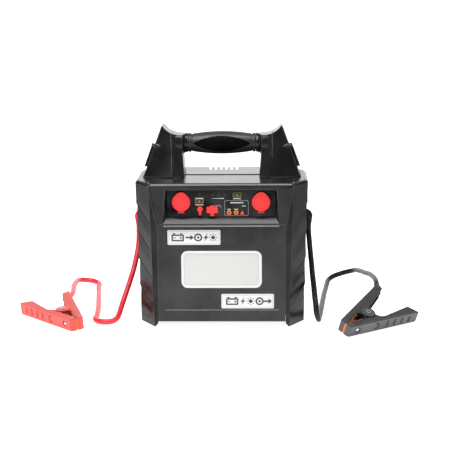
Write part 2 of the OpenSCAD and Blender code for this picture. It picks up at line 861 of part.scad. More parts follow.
module battery_bracket() {
    color(STEEL) {
        translate([-bracket_half, battery_split - 12, battery_top]) cube([2 * bracket_half, 24, bracket_t]);
        for (sx = [-1, 1], dy = [-8, 8]) translate([sx * 50, battery_split + dy, battery_top])
            cylinder(r = 3, h = shelf_z - battery_top);
    }
}

module series_link() {
    color(COPPER) translate([-post_pos_x - post_w / 2, front_post_y - post_w / 2, battery_top + post_h])
        cube([post_w, rear_post_y - front_post_y + post_w, link_t]);
}

module main_board() {
    color(BOARD) translate([-board_size[0] / 2, -34, shelf_z]) cube(board_size);
}

relay_size = [40, 30, 28];
relay_pos = [-board_size[0] / 2, 5, shelf_z + board_size[2]];

module jump_relay() {
    color("#202226") translate(relay_pos) cube(relay_size);
}

function unit(v) = v / norm(v);

function path_tangents(p) =
    [for (i = [0 : len(p) - 1]) unit(p[min(i + 1, len(p) - 1)] - p[max(i - 1, 0)])];

// Carries a sideways vector along a path without twist
function path_sides(t, first) =
    [for (i = 0, n = unit(first - (first * t[0]) * t[0]); i < len(t);
        i = i + 1, n = i < len(t) ? unit(n - (n * t[i]) * t[i]) : n) n];

// A tube swept along points, with flat ends square to the path
module tube(p, r, sides, first = [0, 1, 0]) {
    t = path_tangents(p);
    n = path_sides(t, first);
    last = len(p) - 1;
    ring = [for (i = [0 : last]) for (k = [0 : sides - 1])
        let (a = 360 * (k + 0.5) / sides) p[i] + r * (cos(a) * n[i] + sin(a) * cross(t[i], n[i]))];
    polyhedron(points = ring, faces = concat(
        [[for (k = [0 : sides - 1]) k]],
        [[for (k = [0 : sides - 1]) last * sides + sides - 1 - k]],
        [for (i = [0 : last - 1]) for (k = [0 : sides - 1])
            let (a = i * sides + k, b = i * sides + (k + 1) % sides) [a, a + sides, b]],
        [for (i = [0 : last - 1]) for (k = [0 : sides - 1])
            let (a = i * sides + k, b = i * sides + (k + 1) % sides) [b, a + sides, b + sides]]),
        convexity = 10);
}

lead_r = 3.6;
positive_route = [[-139.5, 45, 170], [-111, 45, 170], [-103.8, 45, 171.9], [-98.5, 44, 177.2],
    [-96.6, 41, 184.5], [-95.8, 35, 195], [-92, 28, 204], [-85, 22.5, 210], [-74, 20, 212], [-60, 20, 212]];
negative_route = [[139.5, 45, 170], [111, 45, 170], [103.8, 45.5, 171.9], [99, 48, 176.6], [98, 54.5, 182],
    [96.3, 61, 186], [91.5, 66, 188.6], [86, 68, 189], [83, 68, 189]];
relay_route = [[73, -60, 189], [60, -60, 189], [46, -57, 193], [31, -48, 201], [16, -32, 208],
    [5, -12, 211.5], [-1, 8, 212], [-6, 17, 212], [-13, 20, 212], [-20, 20, 212]];

module positive_lead() {
    color(RED) tube(positive_route, lead_r, 8);
}

module negative_lead() {
    color(SOFT_BLACK) tube(negative_route, lead_r, 8);
}

module relay_lead() {
    color(RED) tube(relay_route, 3, 8, [0, 0, 1]);
}

module case_screws() color(STEEL) {
    for (sx = [-1, 1], z = screw_z) {
        along_y(sx * screw_x, z, -12) cylinder(r = screw_r, h = 12 + head_y);
        along_y(sx * screw_x, z, head_y) cylinder(r = head_r, h = head_t);
    }
    for (sx = [-1, 1], p = tower_screw) translate([sx * p[0], p[1], deck_under]) {
        translate([0, 0, -head_t]) cylinder(r = head_r, h = head_t);
        cylinder(r = screw_r, h = tower_screw_l);
    }
}

// ---- booster cables ----
cable_r = cable_d / 2;
cable_x = 150;
cable_z0 = 150;
red_route = [[-150, 45, 150], [-150, 45, 138], [-150, 42, 125], [-151, 35, 110], [-153.5, 26, 95],
    [-157, 14, 78], [-162, 1, 61], [-167, -13, 45.5], [-171.5, -27, 32], [-175, -41, 21],
    [-177.5, -56, 12.5], [-180.5, -67, 8], [-187.5, -74, 5.5], [-198, -77, 5], [-207.5, -74.5, 5],
    [-214.5, -68, 5], [-218, -57, 5], [-218, -40, 5], [-219.5, -16, 5], [-222, 14, 5], [-226, 50, 5],
    [-230.5, 88, 5], [-235, 126, 5], [-239, 155, 5.5], [-240, 174, 6], [-243, 184.5, 6.5],
    [-250.5, 192, 7.5], [-260.5, 195, 9], [-270.5, 192.5, 10.5], [-278, 185, 12.5], [-281, 174, 14],
    [-281.5, 154, 16], [-281, 128, 17.5], [-278.5, 102, 18.5], [-275.5, 76, 18.6], [-275.1, 53.2, 18.6],
    [-277.5, 35.1, 19]];
black_route = [[150, 45, 150], [150, 45, 138], [151, 41, 125], [152, 32, 112], [153, 18, 99],
    [154, 1, 87], [154.5, -18, 76], [155.5, -37, 65], [156.5, -54, 53], [157.5, -68.5, 41.5],
    [158.5, -75.5, 33.5], [159.5, -77.5, 21.5], [161.5, -74.5, 13.5], [163.5, -67, 7], [164.5, -57, 5],
    [166.5, -42, 5], [169, -18, 5], [172, 10, 5], [175, 42, 5], [178.5, 76, 5], [182, 110, 5],
    [186.5, 146, 5], [190.5, 177, 6], [194, 199, 7.5], [199.5, 210.5, 9.5], [208.5, 218, 12.5],
    [220, 220.5, 16], [231.5, 217.5, 20], [240.5, 210, 24], [246, 199, 28], [250, 176, 32.5],
    [254, 148, 37.5], [258, 119, 42], [262.5, 90, 47], [265.5, 60, 50.5], [267.5, 32, 52],
    [267.4, 5.8, 50.9], [266.3, -11.9, 46.7]];

module cable_boot(side) {
    wall_x = half_w(boot_z);
    scale([side, 1, 1]) {
        translate([wall_x - wall - 1, boot_y, boot_z]) rotate([0, 90, 0]) cylinder(r = boot_hole_r - 0.1, h = wall + 2);
        difference() {
            union() {
                translate([wall_x - 2, boot_y, boot_z]) rotate([0, 90, 0]) cylinder(r = 10, h = 4.5);
                translate([cable_x, boot_y, boot_z]) sphere(r = 7.6, $fn = 32);
                translate([cable_x, boot_y, cable_z0]) cylinder(r1 = 5.4, r2 = 7.6, h = boot_z - cable_z0);
            }
            case_block();
        }
    }
}

module red_cable_boot() {
    color(RED) cable_boot(-1);
}

module black_cable_boot() {
    color(SOFT_BLACK) cable_boot(1);
}

module red_cable() {
    color(RED) tube(red_route, cable_r, 8);
}

module black_cable() {
    color(SOFT_BLACK) tube(black_route, cable_r, 8);
}

// ---- spring clamps, drawn flat with the jaws towards +X, the cable arm on +Y ----
red_pose = [[-271.5, -63.5, 13.6], [6, 1.6, -59.2]];
black_pose = [[241, -104, 20.8], [-24, 6, 228.4]];
ear_r = 12.5;
inner_ear_r = 10.5;
ear_gap = 0.3;
ear_proud = 0.8;
half_h = clamp_h / 2;
inner_h = half_h - arm_wall - ear_gap;
sleeve_turn = 142;
sleeve_drop = 6;
sleeve_from = [-74, 34.5, 0];
sleeve_l = 17.5;
sleeve_r = 6.4;
mouth_x = 43;
mouth_y = 8;
jaw_gap = 1.8;
jaw_end = jaw_l + 2.2;

module red_place() {
    translate(red_pose[0]) rotate(red_pose[1]) children();
}

module black_place() {
    translate(black_pose[0]) rotate(black_pose[1]) mirror([0, 1, 0]) children();
}

// Outlines of the two arms seen from above
free_outline = [[-arm_l, -arm_spread], [jaw_l, -jaw_half], [jaw_end, -jaw_half + 3], [jaw_end, -jaw_gap],
    [mouth_x, -jaw_gap], [mouth_x - 8, -5.5], [18, -mouth_y - 0.5], [8, -9.5], [-8, -12], [-14, -19],
    [-20, -21.5], [-arm_l + 6, -arm_spread + 21]];
cable_outline = [[-arm_l, arm_spread], [jaw_l, jaw_half], [jaw_end, jaw_half - 3], [jaw_end, jaw_gap],
    [mouth_x, jaw_gap], [mouth_x - 8, 5.5], [18, mouth_y], [ear_r - 1, 2], [0, 0], [-ear_r + 1, 4],
    [-20, 10.5], [-arm_l + 5, arm_spread - 15]];

arm_slope = atan((arm_spread - jaw_half) / (arm_l + jaw_l));
arm_skin = arm_wall + 0.4;
web_bite = 1.2;
web_in = 5;

// How far an arm's outer edge stands from the pin's line at a given x
function edge_y(x) = arm_spread - (arm_l + x) * tan(arm_slope);

// The hollow of an arm: everything more than arm_skin inside its outer edge
module arm_hollow(side) {
    scale([1, side, 1]) translate([-arm_l, arm_spread, 0]) rotate([0, 0, -arm_slope])
        translate([-20, -2 * arm_spread - arm_skin, -half_h + arm_wall])
            cube([arm_l + jaw_l + 18, 2 * arm_spread, clamp_h - 2 * arm_wall]);
}

rib_count = 4;
rib_pitch = 16;
rib_w = 4.5;
hole_x = 131.5;
ring_x = 91.5;

// Marks moulded into the outer face of the free arm: ribs, a crescent and a through hole
module free_arm_marks() {
    translate([-arm_l, -arm_spread, 0]) rotate([0, 0, arm_slope]) {
        for (k = [0 : rib_count - 1])
            translate([17 + k * rib_pitch, -1, -6]) cube([rib_w, 1.9, 12]);
        translate([hole_x, -1, 0]) rotate([-90, 0, 0]) {
            cylinder(r = 4.8, h = 1.9);
            cylinder(r = 3, h = arm_wall + 2);
        }
        translate([ring_x, 0.9, 0]) rotate([90, 0, 0]) difference() {
            cylinder(r = 6.2, h = 3);
            translate([0, 0, -1]) cylinder(r = 4.4, h = 5);
            translate([3, -10, -1]) cube([20, 20, 5]);
        }
    }
}

module free_arm() {
    difference() {
        union() {
            difference() {
                linear_extrude(clamp_h, center = true) polygon(free_outline);
                arm_hollow(-1);
                for (sz = [-1, 1]) translate([0, 0, sz * (half_h - arm_wall - ear_gap + 10)])
                    cylinder(r = ear_r + 0.6, h = 20, center = true);
                free_arm_marks();
            }
            for (sz = [-1, 1]) translate([0, 0, sz * (inner_h - arm_wall / 2)]) {
                cylinder(r = inner_ear_r, h = arm_wall, center = true);
                linear_extrude(arm_wall, center = true) polygon([[-24, web_bite - edge_y(-24)],
                    [22, web_bite - edge_y(22)], [16, -8.6], [inner_ear_r - 1, -4],
                    [-inner_ear_r + 1, -4], [-16, -20.5], [-22, -22]]);
            }
            for (sz = [-1, 1], px = [[-24, -21], [14, 20]]) translate([0, 0, sz * (half_h - arm_wall - 1)])
                linear_extrude(2.2, center = true) polygon([for (q = [[px[0], web_bite], [px[1], web_bite],
                    [px[1], web_in], [px[0], web_in]]) [q[0], q[1] - edge_y(q[0])]]);
        }
        cylinder(r = pin_r + running, h = far, center = true);
    }
}

module cable_arm() {
    difference() {
        union() {
            difference() {
                union() {
                    linear_extrude(clamp_h, center = true) polygon(cable_outline);
                    cylinder(r = ear_r, h = clamp_h + 2 * ear_proud, center = true);
                }
                arm_hollow(1);
            }
            translate(sleeve_from) rotate([0, 0, sleeve_turn]) rotate([0, 90 + sleeve_drop, 0])
                cylinder(r = sleeve_r, h = sleeve_l);
            translate([-arm_l + 4, arm_spread - 14, -half_h + 1]) cube([6, 11.4, clamp_h - 2]);
        }
        cylinder(r = pin_r + running, h = far, center = true);
    }
}

// Toothed copper liner of one jaw, which follows the arm's inner edge into the mouth
jaw_t = 1.5;
jaw_h = clamp_h - 1.6;
jaw_play = 0.1;
tooth = 1.5;
tooth_pitch = 4.5;

module jaw_liner(side) {
    outer = [[jaw_end - 0.3, jaw_gap - jaw_play], [mouth_x, jaw_gap - jaw_play], [mouth_x - 8, 5.3], [22, 7]];
    inner = [[22, 7 - jaw_t], [mouth_x - 8.3, 5.3 - jaw_t], [mouth_x - 0.5, jaw_gap - jaw_play - jaw_t],
        [jaw_end - 0.3, jaw_gap - jaw_play - jaw_t]];
    scale([1, side, 1]) difference() {
        linear_extrude(jaw_h, center = true) polygon(concat(outer, inner));
        for (k = [0 : 2]) translate([mouth_x + 3 + k * tooth_pitch, 0, 0]) rotate([0, 0, 45])
            cube([tooth, tooth, clamp_h], center = true);
    }
}

module clamp_pin() {
    difference() {
        union() {
            cylinder(r = pin_r, h = clamp_h + 2 * ear_proud + 1, center = true);
            for (sz = [-1, 1]) translate([0, 0, sz * (half_h + ear_proud + 0.55)])
                cylinder(r = pin_r + 1.4, h = 1, center = true);
        }
        cylinder(r = pin_r - 0.9, h = far, center = true);
    }
}

coil_r = 5.2;
coil_steps = 8;
coil_h = 2 * (inner_h - arm_wall) - wire_d - 1.4;
leg_x = -30;
leg_y = edge_y(leg_x) - (arm_skin + wire_d / 2 + soft_gap) / cos(arm_slope);
coil_start = acos(coil_r / norm([leg_x, leg_y])) - atan2(leg_y, leg_x);
coil_sweep = 360 * spring_turns - 2 * coil_start;
coil_rings = round(coil_sweep / 360 * coil_steps);
coil = [for (k = [0 : coil_rings]) let (a = coil_start + k * coil_sweep / coil_rings)
    [coil_r * cos(a), coil_r * sin(a), coil_h * (k / coil_rings - 0.5)]];
spring_route = concat([[leg_x, -leg_y, -coil_h / 2]], coil, [[leg_x, leg_y, coil_h / 2]]);
echo(least_gap_between_turns = min([for (i = [0 : coil_rings]) for (j = [i + 5 : 1 : coil_rings])
    norm(coil[i] - coil[j])]) - wire_d);

module clamp_spring() {
    tube(spring_route, wire_d / 2, 6, [0, 0, 1]);
}

module red_clamp_cable_arm() {
    color(RED) red_place() cable_arm();
}

module red_clamp_free_arm() {
    color(RED) red_place() free_arm();
}

module red_clamp_cable_jaw() {
    color(COPPER) red_place() jaw_liner(1);
}

module red_clamp_free_jaw() {
    color(COPPER) red_place() jaw_liner(-1);
}

module red_clamp_pin() {
    color(STEEL) red_place() clamp_pin();
}

module red_clamp_spring() {
    color(STEEL) red_place() clamp_spring();
}

module black_clamp_cable_arm() {
    color(SOFT_BLACK) black_place() cable_arm();
}

module black_clamp_free_arm() {
    color(SOFT_BLACK) black_place() free_arm();
}

module black_clamp_cable_jaw() {
    color(COPPER) black_place() jaw_liner(1);
}

module black_clamp_free_jaw() {
    color(COPPER) black_place() jaw_liner(-1);
}

module black_clamp_pin() {
    color(STEEL) black_place() clamp_pin();
}

module black_clamp_spring() {
    color(STEEL) black_place() clamp_spring();
}

front_housing();
rear_housing();
left_side_cover();
right_side_cover();
rubber_feet();
left_handle_tower();
right_handle_tower();
handle_grip();
grip_inserts();
left_clamp_holder();
right_clamp_holder();
panel_fascia();
left_socket();
right_socket();
socket_nuts();
left_socket_cap();
right_socket_cap();
charge_jack();
charge_jack_cap();
usb_port();
usb_port_cap();
volt_button();
power_button();
level_leds();
jump_leds();
panel_board();
lamp_lens();
lamp_reflector();
lamp_board();
upper_label();
lower_label();
front_battery();
rear_battery();
battery_terminals();
battery_tray();
battery_bracket();
series_link();
main_board();
jump_relay();
positive_lead();
negative_lead();
relay_lead();
case_screws();
cap_anchors();
red_cable_boot();
red_cable();
red_clamp_cable_arm();
red_clamp_free_arm();
red_clamp_cable_jaw();
red_clamp_free_jaw();
red_clamp_pin();
red_clamp_spring();
black_cable_boot();
black_cable();
black_clamp_cable_arm();
black_clamp_free_arm();
black_clamp_cable_jaw();
black_clamp_free_jaw();
black_clamp_pin();
black_clamp_spring();
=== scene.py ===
"""Looks of a jump starter pack: a moulded case with a carrying handle, two outlets, a lamp
and two booster cables. Lengths are in millimetres and become metres through MM."""

import json
import math

import bmesh
import bpy
from mathutils import Matrix, Vector


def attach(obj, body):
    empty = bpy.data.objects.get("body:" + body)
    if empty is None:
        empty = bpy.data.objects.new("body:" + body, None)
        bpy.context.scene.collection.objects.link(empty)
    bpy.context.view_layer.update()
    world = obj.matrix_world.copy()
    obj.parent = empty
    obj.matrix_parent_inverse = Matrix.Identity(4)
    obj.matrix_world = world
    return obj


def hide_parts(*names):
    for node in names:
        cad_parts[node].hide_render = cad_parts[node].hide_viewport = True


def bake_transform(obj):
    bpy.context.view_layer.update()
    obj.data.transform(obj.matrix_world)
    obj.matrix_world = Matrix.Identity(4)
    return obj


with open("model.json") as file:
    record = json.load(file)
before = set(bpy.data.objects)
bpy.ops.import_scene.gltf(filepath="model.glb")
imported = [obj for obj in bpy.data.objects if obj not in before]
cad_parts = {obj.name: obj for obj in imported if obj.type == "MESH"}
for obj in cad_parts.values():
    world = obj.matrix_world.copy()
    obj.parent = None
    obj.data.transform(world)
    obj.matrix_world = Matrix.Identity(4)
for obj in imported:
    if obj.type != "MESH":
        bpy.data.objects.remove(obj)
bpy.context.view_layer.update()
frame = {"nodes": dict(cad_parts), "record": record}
MM = 0.001
CASE = "case"

# ---------------------------------------------------------------- camera and light

CAMERA_AT = (62.5, -2104.2, 589.0)
CAMERA_TURN, CAMERA_DOWN, CAMERA_ROLL = 1.597, 11.606, -0.437  # degrees
LENS, SENSOR = 99.32, 36
FAR_CLIP = 60  # metres


def place_camera():
    camera = bpy.data.objects.new("camera", bpy.data.cameras.new("camera"))
    camera.data.lens = LENS
    camera.data.sensor_width = SENSOR
    camera.data.clip_end = FAR_CLIP
    bpy.context.collection.objects.link(camera)
    camera.matrix_world = (
        Matrix.Translation(Vector(CAMERA_AT) * MM)
        @ Matrix.Rotation(math.radians(CAMERA_TURN), 4, "Z")
        @ Matrix.Rotation(math.radians(90 - CAMERA_DOWN), 4, "X")
        @ Matrix.Rotation(math.radians(CAMERA_ROLL), 4, "Z")
    )
    bpy.context.scene.camera = camera


def soft_light(name, at, aim, size, power):
    """A rectangular softbox at one point, aimed at another; power in watts."""
    lamp = bpy.data.lights.new(name, "AREA")
    lamp.shape = "RECTANGLE"
    lamp.size, lamp.size_y = size
    lamp.energy = power
    holder = bpy.data.objects.new(name, lamp)
    holder.location = at
    holder.rotation_euler = (Vector(aim) - Vector(at)).to_track_quat("-Z", "Y").to_euler()
    bpy.context.collection.objects.link(holder)


# ---------------------------------------------------------------- colours and shader nodes

def linear(hex_colour):
    """An sRGB hex colour as linear RGBA."""
    parts = [int(hex_colour[i:i + 2], 16) / 255 for i in (1, 3, 5)]
    return [p / 12.92 if p <= 0.04045 else ((p + 0.055) / 1.055) ** 2.4 for p in parts] + [1]


def add(tree, kind, inputs=None, **settings):
    """Adds one shader node. inputs holds numbers, colours or the sockets that feed it."""
    made = tree.nodes.new("ShaderNode" + kind)
    for key, value in settings.items():
        setattr(made, key, value)
    for key, value in (inputs or {}).items():
        if isinstance(value, bpy.types.NodeSocket):
            tree.links.new(value, made.inputs[key])
        else:
            made.inputs[key].default_value = value
    return made


def new_material(name):
    material = bpy.data.materials.new(name)
    material.use_nodes = True
    material.node_tree.nodes.clear()
    return material


def close_material(material, inputs):
    """Gives the material its surface shader and output."""
    tree = material.node_tree
    shader = add(tree, "BsdfPrincipled", inputs)
    add(tree, "OutputMaterial", {"Surface": shader.outputs[0]})
    return material


# How far, in millimetres, the line painted along an edge (a painted highlight, or painted edge shade) and the
# shade painted into a corner reach. A material with both uses the corner's reach for both. A point stays clear
# of them when it is at least this open (1 is fully open), and they come in fully over the next FADE of
# openness.
PAINTED_EDGE_REACH, PAINTED_SHADE_REACH = 1.6, 2.4
PAINTED_EDGE_CLEAR, PAINTED_SHADE_CLEAR, FADE = 0.93, 0.98, 0.42
REACH_SAMPLES = 8
NOISE_LOW, NOISE_HIGH = 0.3, 0.7  # nearly all values of a noise lie between these
BROAD_GRAIN = 45  # millimetres, the slow change of shade over a moulding


def moulded(name, colour, roughness, grain, depth, tint="#ffffff", amount=0.05, ior=1.5,
            crease=None, rim=None):
    """A moulded polymer. grain is the size of its surface texture in millimetres, depth its height, tint the
    colour that it drifts to by amount, crease the colour of the shade painted into its corners, and rim the
    colour of the line painted along its edges: a painted highlight where it is lighter, painted edge shade
    where it is darker."""
    m = new_material(name)
    t = m.node_tree
    where = add(t, "TexCoord").outputs["Object"]
    fine = add(t, "TexNoise", {"Vector": where, "Scale": 1 / (grain * MM), "Detail": 2.0})
    broad = add(t, "TexNoise", {"Vector": where, "Scale": 1 / (BROAD_GRAIN * MM), "Detail": 3.0})
    shade = add(t, "MapRange", {0: broad.outputs["Fac"], 1: NOISE_LOW, 2: NOISE_HIGH, 3: 0.0, 4: amount})
    mixed = add(t, "Mix", {0: shade.outputs[0], 6: linear(colour), 7: linear(tint)}, data_type="RGBA")
    reach = PAINTED_SHADE_REACH if crease else PAINTED_EDGE_REACH
    # painted light: crease paints shade into corners, rim paints a highlight or a dark line along edges
    for inward, painted_colour, clear in ((False, crease, PAINTED_SHADE_CLEAR), (True, rim, PAINTED_EDGE_CLEAR)):
        if painted_colour:
            near = add(t, "AmbientOcclusion", {"Distance": reach * MM},
                       samples=REACH_SAMPLES, inside=inward, only_local=inward)
            share = add(t, "MapRange", {0: near.outputs["AO"], 1: clear - FADE, 2: clear, 3: 1.0, 4: 0.0})
            mixed = add(t, "Mix", {0: share.outputs[0], 6: mixed.outputs[2], 7: linear(painted_colour)},
                        data_type="RGBA")
    rough = add(t, "MapRange", {0: broad.outputs["Fac"], 1: NOISE_LOW, 2: NOISE_HIGH,
                                3: roughness - 0.03, 4: roughness + 0.04})
    bump = add(t, "Bump", {"Height": fine.outputs["Fac"], "Distance": depth * MM, "Strength": 1.0})
    return close_material(m, {
        "Base Color": mixed.outputs[2], "Roughness": rough.outputs[0], "IOR": ior,
        "Normal": bump.outputs[0]})


def metal(name, colour, roughness, grain, depth):
    """A plated or drawn metal whose surface scratches run in short streaks."""
    m = new_material(name)
    t = m.node_tree
    where = add(t, "TexCoord").outputs["Object"]
    streak = add(t, "Mapping", {"Vector": where, "Scale": (1.0, 1.0, 0.15)})
    fine = add(t, "TexNoise", {"Vector": streak.outputs[0], "Scale": 1 / (grain * MM), "Detail": 3.0})
    rough = add(t, "MapRange", {0: fine.outputs["Fac"], 1: NOISE_LOW, 2: NOISE_HIGH,
                                3: roughness - 0.06, 4: roughness + 0.1})
    bump = add(t, "Bump", {"Height": fine.outputs["Fac"], "Distance": depth * MM})
    return close_material(m, {
        "Base Color": linear(colour), "Metallic": 1.0, "Roughness": rough.outputs[0],
        "Normal": bump.outputs[0]})


# ---------------------------------------------------------------- mesh makers

SMOOTH_BELOW = 35.0  # degrees, on a piece made here
MERGE_WITHIN, FLAT_WITHIN = 0.004, 0.6  # millimetres and degrees, when a CAD mesh is made whole
ROUND_ABOVE, SHORTEST_ROUNDED = 28.0, 2.2  # degrees and millimetres: an edge under either stays as it is
ROUND_SEGMENTS = 3
DECK_EDGE = 238  # millimetres; an edge above this belongs to the deck
LATHE_MERGE = 0.0005  # millimetres, joins a lathe's points on its axis


def body_with(node):
    """The body that holds a CAD node."""
    for body, nodes in frame["record"]["behaviour"]["bodies"].items():
        if node in nodes:
            return body


def finish(material, *nodes):
    """Gives CAD nodes their material."""
    for name in nodes:
        mesh = frame["nodes"][name].data
        mesh.materials.clear()
        mesh.materials.append(material)


def piece_from(shape, name, material, body, node=None):
    """Turns a bmesh in millimetres into a piece that rides on a body and may stand for a CAD node."""
    bmesh.ops.recalc_face_normals(shape, faces=shape.faces)
    for edge in shape.edges:
        edge.smooth = len(edge.link_faces) == 2 and math.degrees(edge.calc_face_angle()) < SMOOTH_BELOW
    for face in shape.faces:
        face.smooth = True
    bmesh.ops.scale(shape, vec=(MM, MM, MM), verts=shape.verts)
    mesh = bpy.data.meshes.new(name)
    shape.to_mesh(mesh)
    shape.free()
    mesh.materials.append(material)
    piece = bpy.data.objects.new(name, mesh)
    bpy.context.collection.objects.link(piece)
    if body:
        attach(piece, body)
    if node:
        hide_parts(node)
    return piece


def clean_copy(node):
    """A CAD node's mesh as a bmesh, with its flat faces made whole again."""
    shape = bmesh.new()
    shape.from_mesh(frame["nodes"][node].data)
    bmesh.ops.remove_doubles(shape, verts=shape.verts, dist=MERGE_WITHIN * MM)
    bmesh.ops.dissolve_limit(shape, angle_limit=math.radians(FLAT_WITHIN),
                             verts=shape.verts, edges=shape.edges)
    return shape


def softened(node, name, width, material, crease=None, deck_width=None):
    """A copy of a CAD node with its long sharp edges rounded over by width, which stands for it. Edges
    that turn by crease or more are shaded sharp, and those at the deck are rounded by deck_width."""
    shape = clean_copy(node)
    weight = shape.edges.layers.float.new("bevel_weight_edge")
    for edge in shape.edges:
        if len(edge.link_faces) != 2:
            continue
        turn = math.degrees(edge.calc_face_angle())
        edge.smooth = turn < (crease or ROUND_ABOVE)
        at_deck = deck_width and all(v.co.z > DECK_EDGE * MM for v in edge.verts)
        if turn > ROUND_ABOVE and edge.calc_length() > SHORTEST_ROUNDED * MM:
            edge[weight] = 1.0 if at_deck or not deck_width else width / deck_width
    for face in shape.faces:
        face.smooth = True
    mesh = bpy.data.meshes.new(name)
    shape.to_mesh(mesh)
    shape.free()
    if "custom_normal" in mesh.attributes:
        mesh.attributes.remove(mesh.attributes["custom_normal"])
    piece = bpy.data.objects.new(name, mesh)
    bpy.context.collection.objects.link(piece)
    mesh.materials.clear()
    mesh.materials.append(material)
    bevel = piece.modifiers.new("rounding", "BEVEL")
    bevel.limit_method = "WEIGHT"
    bevel.width = (deck_width or width) * MM
    bevel.segments = ROUND_SEGMENTS
    bevel.use_clamp_overlap = False
    normals = piece.modifiers.new("normals", "WEIGHTED_NORMAL")
    normals.keep_sharp = True
    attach(piece, body_with(node))
    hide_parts(node)
    return piece


def loft(shape, loops, ends=True, ring=False):
    """Joins closed loops of points with quads; ring joins the last loop to the first."""
    rows = [[shape.verts.new(p) for p in loop] for loop in loops]
    pairs = list(zip(rows, rows[1:])) + ([(rows[-1], rows[0])] if ring else [])
    for a, b in pairs:
        for k in range(len(a)):
            n = (k + 1) % len(a)
            shape.faces.new((a[k], a[n], b[n], b[k]))
    if ends and not ring:
        shape.faces.new(rows[0])
        shape.faces.new(rows[-1])


def rounded(width, height, radius, at=(0, 0), steps=6):
    """A rectangle with round corners, as points in X and Z."""
    points = []
    for sx, sz, turn in ((1, 1, 0), (-1, 1, 90), (-1, -1, 180), (1, -1, 270)):
        for k in range(steps + 1):
            a = math.radians(turn + 90 * k / steps)
            points.append((at[0] + sx * (width / 2 - radius) + radius * math.cos(a),
                           at[1] + sz * (height / 2 - radius) + radius * math.sin(a)))
    return points


def circle(radius, at=(0, 0), steps=32):
    return [(at[0] + radius * math.cos(2 * math.pi * k / steps),
             at[1] + radius * math.sin(2 * math.pi * k / steps)) for k in range(steps)]


def at_depth(outline, y):
    return [(x, y, z) for x, z in outline]


def plate(shape, outline, y, thickness):
    """A thin plate with its back at y, standing towards the front."""
    loft(shape, [at_depth(outline, y), at_depth(outline, y - thickness)])


def band(shape, outer, inner, y, thickness):
    """A flat closed band between two outlines of as many points."""
    front = y - thickness
    loft(shape, [at_depth(outer, y), at_depth(outer, front), at_depth(inner, front), at_depth(inner, y)],
         ring=True)


def lathe(shape, profile, place, steps=40):
    """Turns (radius, height) points about the local Z axis of place."""
    turns = [2 * math.pi * k / steps for k in range(steps)]
    loops = [[place @ Vector((r * math.cos(a), r * math.sin(a), h)) for a in turns] for r, h in profile]
    loft(shape, loops, ends=False)
    bmesh.ops.remove_doubles(shape, verts=shape.verts, dist=LATHE_MERGE)


def swept(shape, points, radii, sides):
    """A tube along points, with its own radius at each."""
    points = [Vector(p) for p in points]
    last = len(points) - 1
    turns = [2 * math.pi * j / sides for j in range(sides)]
    side = None
    loops = []
    for k, point in enumerate(points):
        along = (points[min(k + 1, last)] - points[max(k - 1, 0)]).normalized()
        side = along.orthogonal() if side is None else side - side.dot(along) * along
        side.normalize()
        up = along.cross(side)
        loops.append([point + radii[k] * (math.cos(a) * side + math.sin(a) * up) for a in turns])
    loft(shape, loops)


def facing_front(x, y, z):
    """A frame at a point whose local Z runs towards the front."""
    return Matrix.Translation((x, y, z)) @ Matrix.Rotation(math.radians(90), 4, "X")


# ---------------------------------------------------------------- materials

# ABS, spark-eroded mould: deep black with a soft broad gloss, a fine pebble and a painted grey highlight along
# its edges
ABS = moulded("black_abs", "#111214", 0.2, 0.7, 0.003, amount=0.02, ior=1.38, rim="#5c5d60")
# ABS of the side covers: mirrors less than the rest of the case, so it stays dark at a slant, with a faint
# painted highlight along its edges
COVER_ABS = moulded("black_cover_abs", "#0c0d0e", 0.22, 0.7, 0.003, amount=0.02, ior=1.25, rim="#2c2d2f")
# ABS of the handle's towers, from a finer mould: darker, with a shallower pebble and a painted grey highlight
# along its edges
TOWER_ABS = moulded("black_tower_abs", "#0a0b0c", 0.24, 0.7, 0.002, amount=0.01, ior=1.42, rim="#48494b")
# ABS of the grip, with a satin texture: an even very dark grey
GRIP_ABS = moulded("satin_abs", "#1b1c1c", 0.4, 0.9, 0.006, amount=0.03)
# soft thermoplastic rubber, moulded and matt: drinks the light, so it reads nearly black
RUBBER = moulded("black_tpr", "#040405", 0.55, 1.2, 0.006, amount=0.005, ior=1.12)
# glass-filled nylon: dull black with a coarser grain
NYLON = moulded("black_nylon", "#161617", 0.48, 1.0, 0.02)
# nylon of the black clamp: greyer, with a satin shine, painted black shade in its corners and a painted black
# line along its edges
CLAMP_NYLON = moulded("grey_black_nylon", "#353636", 0.42, 0.8, 0.012, crease="#050505", rim="#0c0c0c")
# polycarbonate film: satin black with a faint blue cast
FILM = moulded("panel_film", "#06070b", 0.5, 0.8, 0.004, ior=1.1)
# screen inks of the panel and the stickers: flat colour, thinner in places
WHITE_INK = moulded("white_ink", "#c9cdd0", 0.5, 0.4, 0.002, tint="#8d9296", amount=0.4)
GREY_INK = moulded("grey_ink", "#777a7e", 0.5, 0.4, 0.002, amount=0.1)
YELLOW_INK = moulded("yellow_ink", "#a9a02c", 0.5, 0.4, 0.002, tint="#5c5a1c", amount=0.3)
BLACK_INK = moulded("black_ink", "#151515", 0.5, 0.4, 0.002)
# silicone rubber, clean moulded: bright red, satin, with painted deeper red shade where it meets another
# surface
SILICONE = moulded("red_silicone", "#ee2f30", 0.42, 1.5, 0.01, tint="#ff5a50", amount=0.12, ior=1.43,
                   crease="#a01410")
# nylon of the red clamp: strong light red, satin, with flow marks, painted deeper red shade in its corners and
# a painted darker red line along its edges
RED_NYLON = moulded("red_nylon", "#e0443c", 0.4, 0.8, 0.012, tint="#f86c60", amount=0.15, crease="#b01410",
                    rim="#c81c14")
# soft PVC insulation: smooth and even, with a soft shine
RED_PVC = moulded("red_pvc", "#e62a38", 0.34, 2.0, 0.01, tint="#f04038", amount=0.1)
BLACK_PVC = moulded("black_pvc", "#141516", 0.3, 2.0, 0.006, amount=0.02, ior=1.2)
